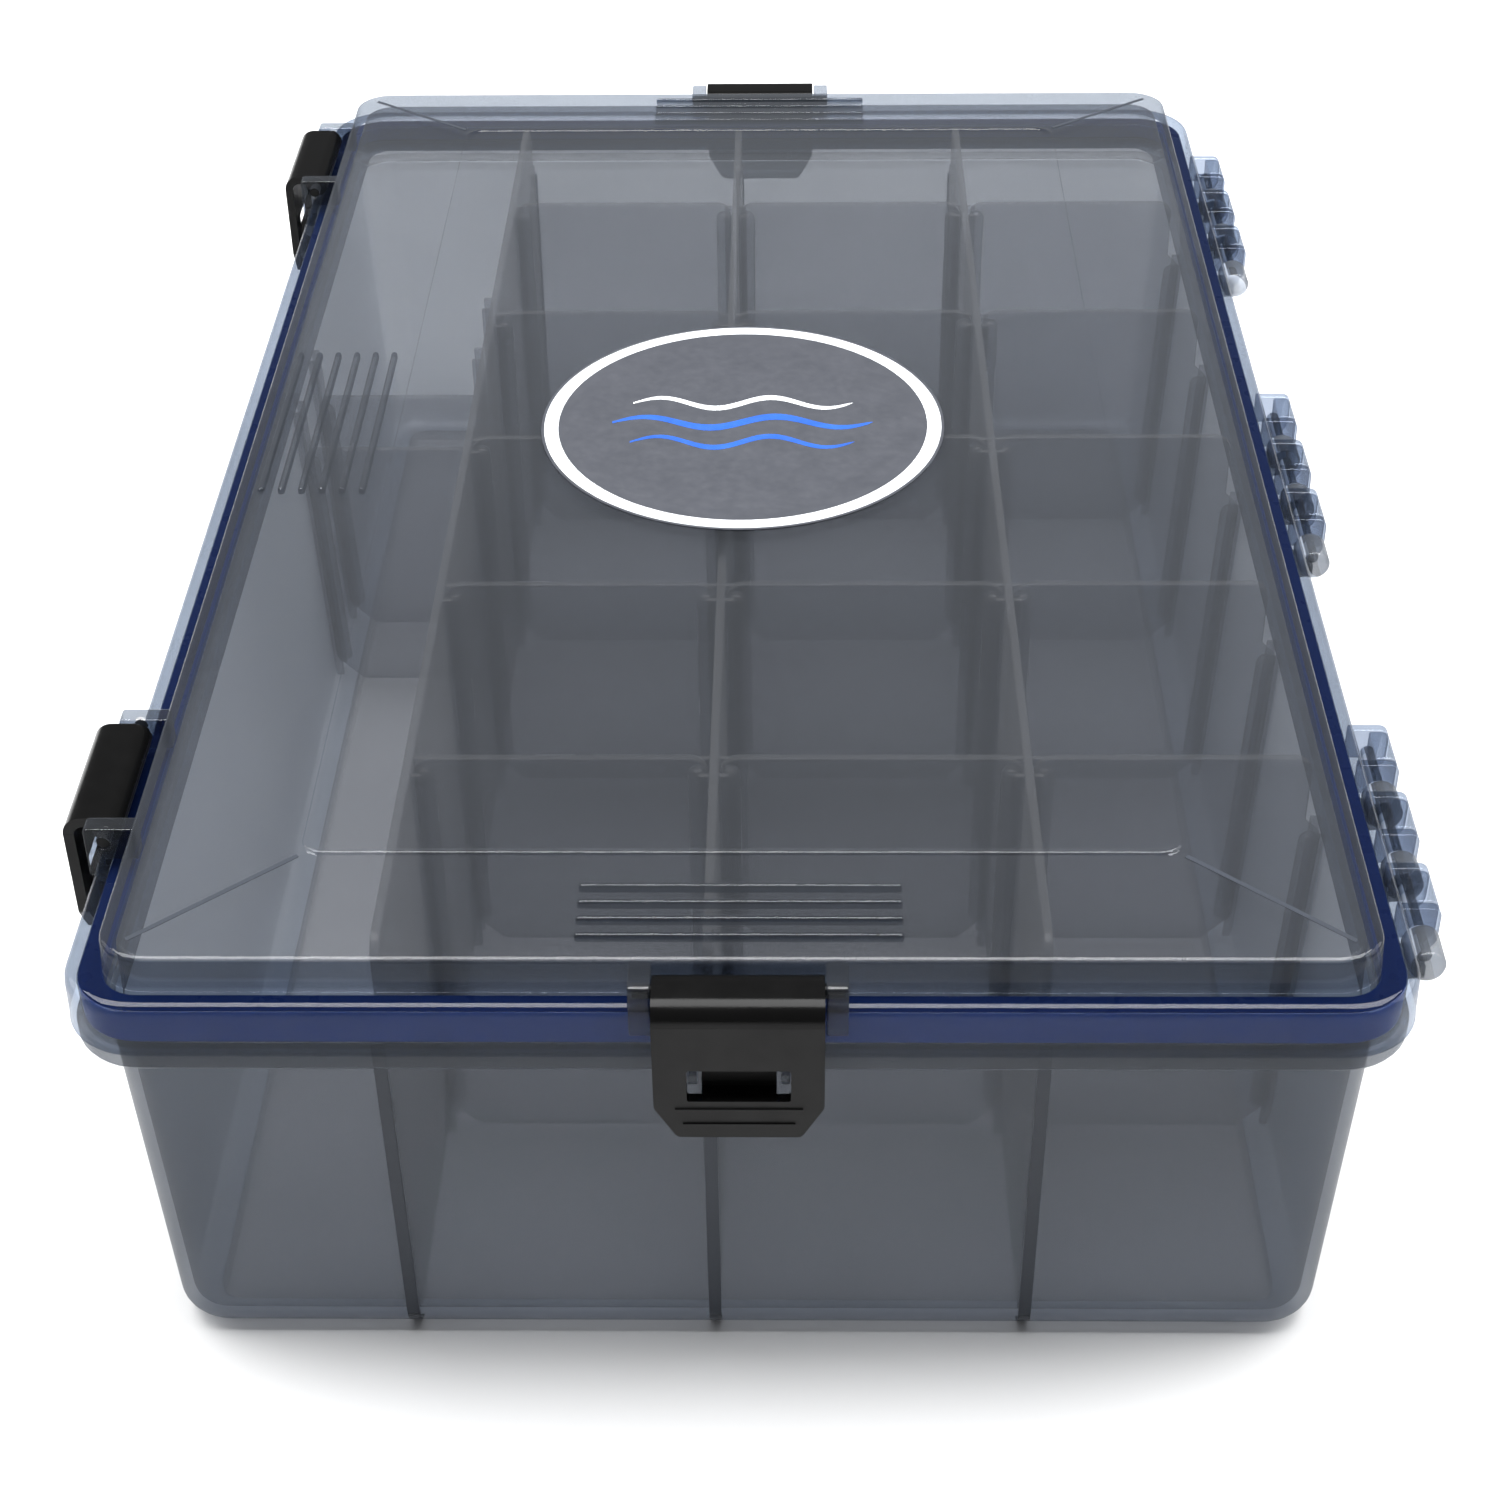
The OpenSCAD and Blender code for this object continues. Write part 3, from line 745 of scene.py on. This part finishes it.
def tub_ring(inset, z, radius):
    """A ring of the drafted wall: inset from the outside, at height z."""
    lean = DRAFT - SLOPE * z
    return ring(TUB_X - lean - inset, TUB_Y - lean - inset, radius, z)


def base_rounding(inset, z0, edge_r, base_r, angles):
    """Rings of the rounded edge where the wall meets the floor."""
    return [tub_ring(inset + back, z0 + up, base_r - back / 2) for back, up in quarter(edge_r, angles)]


def tub_rings():
    """The tub's skin, from under the floor out, up over the rim and down inside to the floor."""
    base_r = 9 * MM
    rings = base_rounding(0, 0, BASE_EDGE_R, base_r, range(0, 91, 10))
    # wall, and the fillet under the rim
    fillet = 0.8 * MM
    rings.append(tub_ring(0, RIM_Z - fillet, TUB_R))
    rings.append(tub_ring(-0.25 * MM, RIM_Z - 0.25 * MM, TUB_R))
    rings.append(tub_ring(-fillet, RIM_Z, TUB_R + fillet))
    # rim, then the tongue that presses into the gasket
    edge = 0.7 * MM
    slight = 0.2 * MM
    rim_soft = 0.3 * MM
    rim_r = FLANGE_R - RIM_IN
    tongue_in = 3.4 * MM
    tongue_t = 2 * MM
    tongue_r = FLANGE_R - tongue_in
    inner = tongue_in + tongue_t
    inner_r = tongue_r - tongue_t
    soft = 0.6 * MM
    top = gasket_low.z
    rings += [flange_ring(*row) for row in (
        (RIM_IN + edge, rim_r - edge, RIM_Z),
        (RIM_IN + slight, rim_r, RIM_Z + slight),
        (RIM_IN, rim_r, RIM_Z + edge),
        (RIM_IN, rim_r, PARTING_Z - rim_soft),
        (RIM_IN + rim_soft, rim_r, PARTING_Z),
        (tongue_in, tongue_r, PARTING_Z),
        (tongue_in, tongue_r, top - soft),
        (tongue_in + slight, tongue_r, top - slight),
        (tongue_in + soft, tongue_r, top),
        (inner - soft, inner_r, top),
        (inner - slight, inner_r, top - slight),
        (inner, inner_r, top - soft),
        (inner, inner_r, PARTING_Z),
    )]
    # down inside
    mouth = 0.4 * MM
    rings.append(tub_ring(WALL - mouth, PARTING_Z, TUB_R - WALL))
    rings.append(tub_ring(WALL, PARTING_Z - mouth, TUB_R - WALL))
    rings += base_rounding(WALL, WALL, BASE_EDGE_R - WALL, base_r - WALL, range(90, -1, -15))
    return rings


LANE_XS = (-59.5 * MM, -5.3 * MM, 50 * MM)
ROW_YS = sorted({round((lo.y + hi.y) / 2, 6) for lo, hi in (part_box(f"divider_b{k}") for k in range(1, 6))})
SHORT_YS = sorted({round((lo.y + hi.y) / 2, 6) for lo, hi in (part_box(f"short_divider_a{k}") for k in (1, 2))})
POST_R = 1.8 * MM
SEAT_GAP = 0.3 * MM
RIB_T = 1 * MM
RIB_REACH = 1.8 * MM
CAVITY_X = TUB_X - WALL - DRAFT
CAVITY_Y = TUB_Y - WALL - DRAFT


def lane_outline():
    """Side view of a fixed lane wall: one half of it, and the other half mirrored."""
    foot = CAVITY_Y + 0.9 * MM
    foot_in = foot - 4 * MM
    head = CAVITY_Y + SLOPE * PARTING_Z - 0.1 * MM
    head_z = PARTING_Z - 1 * MM
    top = CAVITY_Y - 1 * MM
    half = [(foot_in, WALL - 0.6 * MM), (foot, 5.5 * MM), (head, head_z), (top, head_z), (top, LANE_TOP_Z)]
    half_radii = [0, 0, 0.4 * MM, 0, 4 * MM]
    corners = [(-half[0][0], half[0][1]), *half, *((-y, z) for y, z in half[:0:-1])]
    radii = [0, *half_radii, *half_radii[:0:-1]]
    return rounded_outline(corners, radii)


def seat_ribs(y):
    """The two places, either side of a divider's post, where its guide ribs stand."""
    reach = POST_R + SEAT_GAP + RIB_T / 2
    return (y - reach, y + reach)


def lane_wall(bm, x, sides):
    """Adds a lane wall, with guide ribs on each side that has rows of dividers."""
    half_t = LANE_WALL_T / 2
    prism(bm, lane_outline(), x - half_t, x + half_t, along_x)
    for side, rows in sides:
        low_x, high_x = sorted((x + side * (half_t - 0.05 * MM), x + side * (half_t + RIB_REACH)))
        for row in rows:
            for y in seat_ribs(row):
                low = (low_x, y - RIB_T / 2, WALL - 0.3 * MM)
                high = (high_x, y + RIB_T / 2, LANE_TOP_Z - 0.5 * MM)
                block(bm, low, high)


def outer_ribs(bm, side, rows):
    """Guide ribs on an outer side wall, leaning with it."""
    low = 5 * MM
    high = 76 * MM
    for row in rows:
        for y in seat_ribs(row):
            outline = []
            for z, reach in ((low, -0.4 * MM), (high, -0.4 * MM), (high, RIB_REACH), (low, RIB_REACH)):
                outline.append((side * (CAVITY_X + SLOPE * z - reach), z))
            prism(bm, outline, y - RIB_T / 2, y + RIB_T / 2, along_y)


def knuckle(bm, y, last):
    """Adds one knuckle of the tub on its arm; the last of a set has a round end."""
    half = TUB_KNUCKLE_L / 2
    profile = rounded_rod(TUB_KNUCKLE_L, KNUCKLE_R, 0.5 * MM)
    if last:
        nose = [(-half - 1.9 * MM * math.sin(t), KNUCKLE_R * math.cos(t)) for t in (1.35, 1.1, 0.8, 0.5, 0.2)]
        profile = nose + [p for p in profile if p[0] > -half + 0.6 * MM]
    turned(bm, profile, lambda along, a, b: (HINGE_X + a, y + along, HINGE_Z + b))
    root_x = FLANGE_X - 2 * MM
    arm_top = PARTING_Z - 0.3 * MM
    arm = [(root_x, PARTING_Z - 3.3 * MM), (HINGE_X, PARTING_Z - 2.7 * MM), (HINGE_X, arm_top),
           (root_x, arm_top)]
    reach = half - 0.3 * MM
    prism(bm, arm, y - reach, y + reach, along_y)


def catch_lugs(bm, node, turn):
    """Adds the pair of lugs on the rim that a latch's hook goes between."""
    seat = latch_seat(node, turn)
    root = -RIM_IN - 0.6 * MM
    tip = 3.4 * MM
    top = PARTING_Z - 0.3 * MM
    outline = [(root, PARTING_Z - 3.5 * MM), (tip - 1.6 * MM, PARTING_Z - 3.6 * MM),
               (tip, PARTING_Z - 2.4 * MM), (tip, top), (root, top)]
    half_wide = 0.75 * MM
    for side in (-1, 1):
        y = side * 7.45 * MM
        prism(bm, outline, y - half_wide, y + half_wide, lambda u, v, depth: seat @ Vector((u, depth, v)))


def wall_seams(bm):
    """Dark bands on the end walls, where the three lane walls join them from inside."""
    skin = 0.06 * MM
    deep = 0.5 * MM
    half_wide = 1.1 * MM
    top = RIM_Z - 1 * MM
    foot_y = TUB_Y - DRAFT + skin
    face = [(foot_y + SLOPE * z - back, z) for back, z in quarter(BASE_EDGE_R, (25, 40, 55, 70, 90))]
    face.append((foot_y + SLOPE * top, top))
    for end in (-1, 1):
        outline = [(end * y, z) for y, z in face] + [(end * (y - deep), z) for y, z in face[::-1]]
        for x in LANE_XS:
            prism(bm, outline, x - half_wide, x + half_wide, along_x)


def make_tub():
    bm = bmesh.new()
    loft(bm, tub_rings())
    add_piece("tub_shell", bm, "case", tub_smoke, ["tub", "tub_base"])
    for number, x in enumerate(LANE_XS, 1):
        bm = bmesh.new()
        sides = [(1, ROW_YS), (-1, SHORT_YS if number == 1 else ROW_YS)]
        lane_wall(bm, x, sides)
        name = f"tub_lane_wall_{number}"
        add_piece(name, bm, "case", lane_smoke, [f"lane_wall_{number}"], 0.25 * MM)
    bm = bmesh.new()
    wall_seams(bm)
    add_piece("tub_wall_seams", bm, "case", seam_dark_and_crease_shade)
    bm = bmesh.new()
    outer_ribs(bm, 1, ROW_YS)
    outer_ribs(bm, -1, SHORT_YS)
    add_piece("tub_guide_ribs", bm, "case", lane_smoke)
    bm = bmesh.new()
    for y0 in HINGE_YS:
        for k in range(3):
            knuckle(bm, y0 + SET_HALF - (k + 1) * UNIT_L + KNUCKLE_GAP + TUB_KNUCKLE_L / 2, k == 2)
    add_piece("tub_hinge_knuckles", bm, "case", tub_smoke)
    bm = bmesh.new()
    for node, turn in LATCHES:
        catch_lugs(bm, node, turn)
    add_piece("tub_catch_lugs", bm, "case", tub_smoke, ["catch_lugs"], 0.25 * MM)


# ---------------------------------------------------------------------------
# Gasket, label, pins, dividers
# ---------------------------------------------------------------------------


def make_gasket():
    """A sealing ring with a rounded face and a thin outer lip that hangs lower."""
    wide = gasket_high.x - (CHANNEL_X - CHANNEL_WIDE + 0.25 * MM)
    soft = 1.1 * MM
    section = [(0, gasket_high.z - 0.08 * MM), (0, gasket_low.z + soft)]
    for a in (0.4, 0.8, 1.2, 1.5708):
        section.append((soft * (1 - math.cos(a)), gasket_low.z + soft * (1 - math.sin(a))))
    section += [(wide - back, z) for back, z in reversed(section)]
    lip_t = 0.8 * MM
    lip_z = PARTING_Z + 1 * MM
    section[1:3] = [(0, lip_z + 0.3 * MM), (0.3 * MM, lip_z), (lip_t, lip_z), (lip_t, gasket_low.z)]
    bm = bmesh.new()
    rings = []
    for back, z in section:
        rings.append(ring(gasket_high.x - back, gasket_high.y - back, FLANGE_R - GASKET_INSET - back, z))
    loft(bm, rings, closed=True)
    add_piece("gasket_cord", bm, "lid", gasket_blue, ["gasket"])


def flat_ring(bm, centre, inner, outer, low, high, steps=96):
    """Adds a thin flat ring, or a disc where inner is zero."""
    corners = [(outer, low), (outer, high)]
    if inner:
        corners = [(inner, low), *corners, (inner, high)]
    rings = []
    for radius, z in corners:
        rings.append([(centre[0] + x, centre[1] + y, z) for x, y in circle(radius, steps)])
    loft(bm, rings, closed=bool(inner))


def wave(bm, centre, half_run, offset, rise, thick, low, high):
    """Adds one printed wave line across the label."""
    steps = 48
    upper = []
    lower = []
    for i in range(steps + 1):
        share = i / steps
        x = (2 * share - 1) * half_run
        y = offset + rise * math.sin(share * 4 * math.pi)
        half = thick / 2 * math.sin(math.pi * min(1, max(0.02, share))) ** 0.4
        upper.append((centre[0] + x, centre[1] + y + half))
        lower.append((centre[0] + x, centre[1] + y - half))
    prism(bm, upper + lower[::-1], low, high, along_z)


def make_label():
    """The sticker: a dark film with a white ring, one white wave and two blue ones."""
    centre = (label_low + label_high) / 2
    radius = (label_high.x - label_low.x) / 2
    film_top = label_high.z
    ink = (film_top - 0.05 * MM, film_top + 0.03 * MM)
    rise = 2.2 * MM
    spacing = 8 * MM
    half_run, thick = 23 * MM, 2 * MM
    bm = bmesh.new()
    flat_ring(bm, centre, 0, radius, label_low.z + 0.1 * MM, film_top)
    add_piece("label_film", bm, "lid", film_dark, ["label"])
    bm = bmesh.new()
    flat_ring(bm, centre, radius - 3.5 * MM, radius - 0.6 * MM, *ink)
    wave(bm, centre, half_run, spacing, rise, thick, *ink)
    add_piece("label_white_print", bm, "lid", ink_white)
    bm = bmesh.new()
    wave(bm, centre, 27 * MM, 0, rise, 2.6 * MM, *ink)
    wave(bm, centre, half_run, -spacing, rise, thick, *ink)
    add_piece("label_blue_print", bm, "lid", ink_blue)


def make_pins():
    for node in PIN_NODES:
        low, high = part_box(node)
        middle = (low.y + high.y) / 2

        def at(along, a, b):
            return (HINGE_X + a, middle + along, HINGE_Z + b)

        bm = bmesh.new()
        turned(bm, rounded_rod(high.y - low.y, PIN_R, 0.4 * MM), at)
        add_piece(node + "_rod", bm, "case", tub_smoke, [node])


def outer_edge(side, top, lower):
    """Edge of a divider against an outer wall. It leans with the wall, and a tall one steps in over the rim.
    Gives its points, and the radius of each corner."""
    corner = 3 * MM
    shoulder_z = min(PARTING_Z - 4 * MM, top - corner)
    shoulder_x = DOME_X - WALL - 1 * MM

    def wall_x(z):
        return side * (CAVITY_X + SLOPE * z - SEAT_GAP)

    points = [(wall_x(lower), lower), (wall_x(shoulder_z), shoulder_z)]
    if top > PARTING_Z:
        points += [(side * shoulder_x, shoulder_z + corner), (side * shoulder_x, top)]
        return points, [2 * MM, 1 * MM, 1 * MM, 3.2 * MM]
    return points[:1] + [(wall_x(top), top)], [2 * MM, 3.2 * MM]


def make_divider(node, lane):
    """A thin plate with rounded upper corners and a post at each end."""
    low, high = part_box(node)
    y = (low.y + high.y) / 2
    top = high.z
    foot = low.z
    lower = foot + 6 * MM
    edges = []
    for side in (-1, 1):
        if (lane, side) in ((0, -1), (3, 1)):
            edges.append((*outer_edge(side, top, lower), min(top - 4 * MM, PARTING_Z - 4 * MM - POST_R)))
        else:
            x = LANE_XS[lane if side > 0 else lane - 1] - side * (LANE_WALL_T / 2 + SEAT_GAP)
            edges.append(([(x, lower), (x, top)], [2 * MM, 3.2 * MM], top - 4 * MM))
    (left, left_radii, _), (right, right_radii, _) = edges
    chamfer = 6 * MM
    corners = [(left[0][0] + chamfer, foot), (right[0][0] - chamfer, foot), *right, *left[::-1]]
    radii = [1 * MM, 1 * MM, *right_radii, *left_radii[::-1]]
    bm = bmesh.new()
    half_t = 0.75 * MM
    prism(bm, rounded_outline(corners, radii), y - half_t, y + half_t, along_y)
    for side, (points, _, post_top) in zip((1, -1), edges):
        foot_x = points[0][0] + side * POST_R
        lean = (points[1][0] - points[0][0]) / (points[1][1] - points[0][1])
        run = post_top - lower

        def at(along, a, b):
            return (foot_x + lean * along + a, y + b, lower + along)

        profile = [(0, POST_R - 0.3 * MM), (0.3 * MM, POST_R), (run, POST_R)]
        profile += [(run + POST_R * math.sin(t), POST_R * math.cos(t)) for t in (0.3, 0.6, 0.9, 1.2, 1.45)]
        turned(bm, profile, at, 20)
    add_piece(node + "_plate", bm, "case", divider_smoke, [node], bevel=0.3 * MM)


def make_dividers():
    for lane, letter in enumerate("abcd"):
        for number in range(1, 3 if lane == 0 else 6):
            prefix = "short_divider_" if lane == 0 else "divider_"
            make_divider(f"{prefix}{letter}{number}", lane)


# ---------------------------------------------------------------------------
# Latches
# ---------------------------------------------------------------------------

LATCH_FACE_U = 5.9 * MM
LATCH_T = 1.9 * MM
LATCH_TOP_Z = PIVOT_Z + 2.6 * MM
LATCH_CORNER_R = 3.5 * MM
WINDOW_W = 16.6 * MM
WINDOW_Z0 = 74.7 * MM
WINDOW_Z1 = 81.3 * MM
FOOT_W = 20 * MM
CHAMFER_Z = 73.2 * MM
HOOK_HALF = 6 * MM


def make_latch(node, turn):
    """One latch: a top plate that turns down into a front plate, with its barrel, stubs and hook."""
    seat = latch_seat(node, turn)
    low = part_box(node)[0].z
    half = LATCH_W / 2
    u0 = LATCH_FACE_U - LATCH_T
    corner_z = LATCH_TOP_Z - LATCH_CORNER_R
    corner_u = LATCH_FACE_U - LATCH_CORNER_R
    bm = bmesh.new()

    def facing(u, v, depth):
        return seat @ Vector((depth, u, v))

    def sideways(u, v, depth):
        return seat @ Vector((u, depth, v))

    def on_pivot(along, a, b):
        return seat @ Vector((PIVOT_U + a, along, PIVOT_Z + b))

    # front plate with its window
    window_half = WINDOW_W / 2
    foot_half = FOOT_W / 2
    window = rounded_outline(
        [(-window_half, WINDOW_Z0), (window_half, WINDOW_Z0), (window_half, WINDOW_Z1),
         (-window_half, WINDOW_Z1)],
        [0.5 * MM] * 4, 3)
    edge = rounded_outline(
        [(-foot_half, low), (foot_half, low), (half, CHAMFER_Z), (half, corner_z), (-half, corner_z),
         (-half, CHAMFER_Z)],
        [1.2 * MM, 1.2 * MM, 1.5 * MM, 0, 0, 1.5 * MM], 3)
    rows = {}
    for key, outline in (("edge", edge), ("window", window)):
        for depth in (u0, LATCH_FACE_U):
            rows[key, depth] = [bm.verts.new(facing(u, v, depth)) for u, v in outline]
    for key in ("edge", "window"):
        inner, outer = rows[key, u0], rows[key, LATCH_FACE_U]
        for i in range(len(inner)):
            j = (i + 1) % len(inner)
            bm.faces.new((inner[i], inner[j], outer[j], outer[i]))
    for depth in (u0, LATCH_FACE_U):
        edges = []
        for key in ("edge", "window"):
            row = rows[key, depth]
            for i in range(len(row)):
                j = (i + 1) % len(row)
                edges.append(bm.edges.get((row[i], row[j])))
        bmesh.ops.triangle_fill(bm, use_beauty=True, use_dissolve=False, edges=edges)

    # top plate that turns down into the front plate
    inner_r = LATCH_CORNER_R - LATCH_T
    bend = [(PIVOT_U, LATCH_TOP_Z), *arc((corner_u, corner_z), LATCH_CORNER_R, 90, 0, 9)]
    bend += [*arc((corner_u, corner_z), inner_r, 0, 90, 5), (PIVOT_U, LATCH_TOP_Z - LATCH_T)]
    prism(bm, bend, -half, half, sideways)
    # barrel and stubs on the pivot
    stub_l = LATCH_W + 2 * (EAR_GAP + EAR_T) - 1 * MM
    turned(bm, rounded_rod(LATCH_W, BARREL_R, 0.3 * MM), on_pivot)
    turned(bm, rounded_rod(stub_l, STUB_R, 0.2 * MM), on_pivot)
    # hook block behind the window
    root = u0 + 0.02 * MM
    tongue_u, front_u, back_u = 2 * MM, 0.3 * MM, -0.8 * MM
    shelf_z = WINDOW_Z0 - 0.1 * MM
    under_z = WINDOW_Z0 - 0.3 * MM
    hook_top = WINDOW_Z0 + 6 * MM
    hook = [(back_u, 71.5 * MM), (root, 70 * MM), (root, shelf_z), (tongue_u, shelf_z),
            (tongue_u, hook_top), (front_u, hook_top), (front_u, under_z), (back_u, under_z)]
    prism(bm, hook, -HOOK_HALF, HOOK_HALF, sideways)
    # two grip lines on the foot
    back, front = u0 + 1.6 * MM, LATCH_FACE_U + 0.3 * MM
    for k in range(2):
        z = CHAMFER_Z - 0.2 * MM - 3.2 * MM * k
        reach = 10.2 * MM - 1.2 * MM * k
        line = [(back, z - 0.35 * MM), (front, z - 0.2 * MM), (front, z + 0.2 * MM), (back, z + 0.35 * MM)]
        prism(bm, line, -reach, reach, sideways)
    add_piece(node + "_moulding", bm, node, latch_black, [node], bevel=0.3 * MM)


# ---------------------------------------------------------------------------
# Floor, light and camera
# ---------------------------------------------------------------------------


def make_floor():
    """A wide pale sheet just under the case."""
    bm = bmesh.new()
    bmesh.ops.create_grid(bm, x_segments=8, y_segments=8, size=4)
    mesh = bpy.data.meshes.new("floor")
    bm.to_mesh(mesh)
    bm.free()
    mesh.materials.append(floor_material())
    floor = bpy.data.objects.new("floor", mesh)
    floor.location.z = -0.1 * MM
    bpy.context.scene.collection.objects.link(floor)


def add_light(name, place, aim, size, power):
    data = bpy.data.lights.new(name, "AREA")
    data.shape = "RECTANGLE"
    data.size, data.size_y = size
    data.energy = power
    light = bpy.data.objects.new(name, data)
    light.location = place
    light.rotation_euler = (Vector(aim) - Vector(place)).to_track_quat("-Z", "Y").to_euler()
    bpy.context.scene.collection.objects.link(light)


def make_lights():
    world = bpy.data.worlds.new("studio")
    world.use_nodes = True
    background = world.node_tree.nodes["Background"]
    background.inputs["Color"].default_value = (0.97, 0.98, 1.0, 1)
    background.inputs["Strength"].default_value = 0.2
    bpy.context.scene.world = world
    add_light("overhead", (0.0, 0.1, 1.4), (0, 0.1, 0.05), (2.2, 1.1), 78)
    add_light("left", (-1.3, 0.1, 0.7), (0, 0, 0.05), (0.9, 0.9), 6)
    add_light("right", (1.3, 0.1, 0.7), (0, 0, 0.05), (0.9, 0.9), 8)


def make_camera():
    """The camera stands over the near end of the case and looks down along it."""
    data = bpy.data.cameras.new("camera")
    data.lens = 64.97
    data.sensor_width = 36
    data.clip_start = 0.01
    data.clip_end = 50
    camera = bpy.data.objects.new("camera", data)
    yaw, pitch, roll = -0.020, 0.643, 0.012
    forward = Vector((math.sin(yaw) * math.cos(pitch), math.cos(yaw) * math.cos(pitch), -math.sin(pitch)))
    level = Vector((math.cos(yaw), -math.sin(yaw), 0))
    down = forward.cross(level)
    right = level * math.cos(roll) + down * math.sin(roll)
    up = level * math.sin(roll) - down * math.cos(roll)
    turn = Matrix((right, up, -forward)).transposed().to_4x4()
    camera.matrix_world = Matrix.Translation((8.66 * MM, -490.8 * MM, 377.6 * MM)) @ turn
    bpy.context.scene.collection.objects.link(camera)
    bpy.context.scene.camera = camera


make_camera()
make_lights()
make_floor()
make_tub()
make_lid()
make_gasket()
make_label()
make_pins()
make_dividers()
for latch_node, latch_turn in LATCHES:
    make_latch(latch_node, latch_turn)
bpy.context.scene.view_settings.view_transform = "Standard"
bpy.context.scene.cycles.transparent_max_bounces = 24
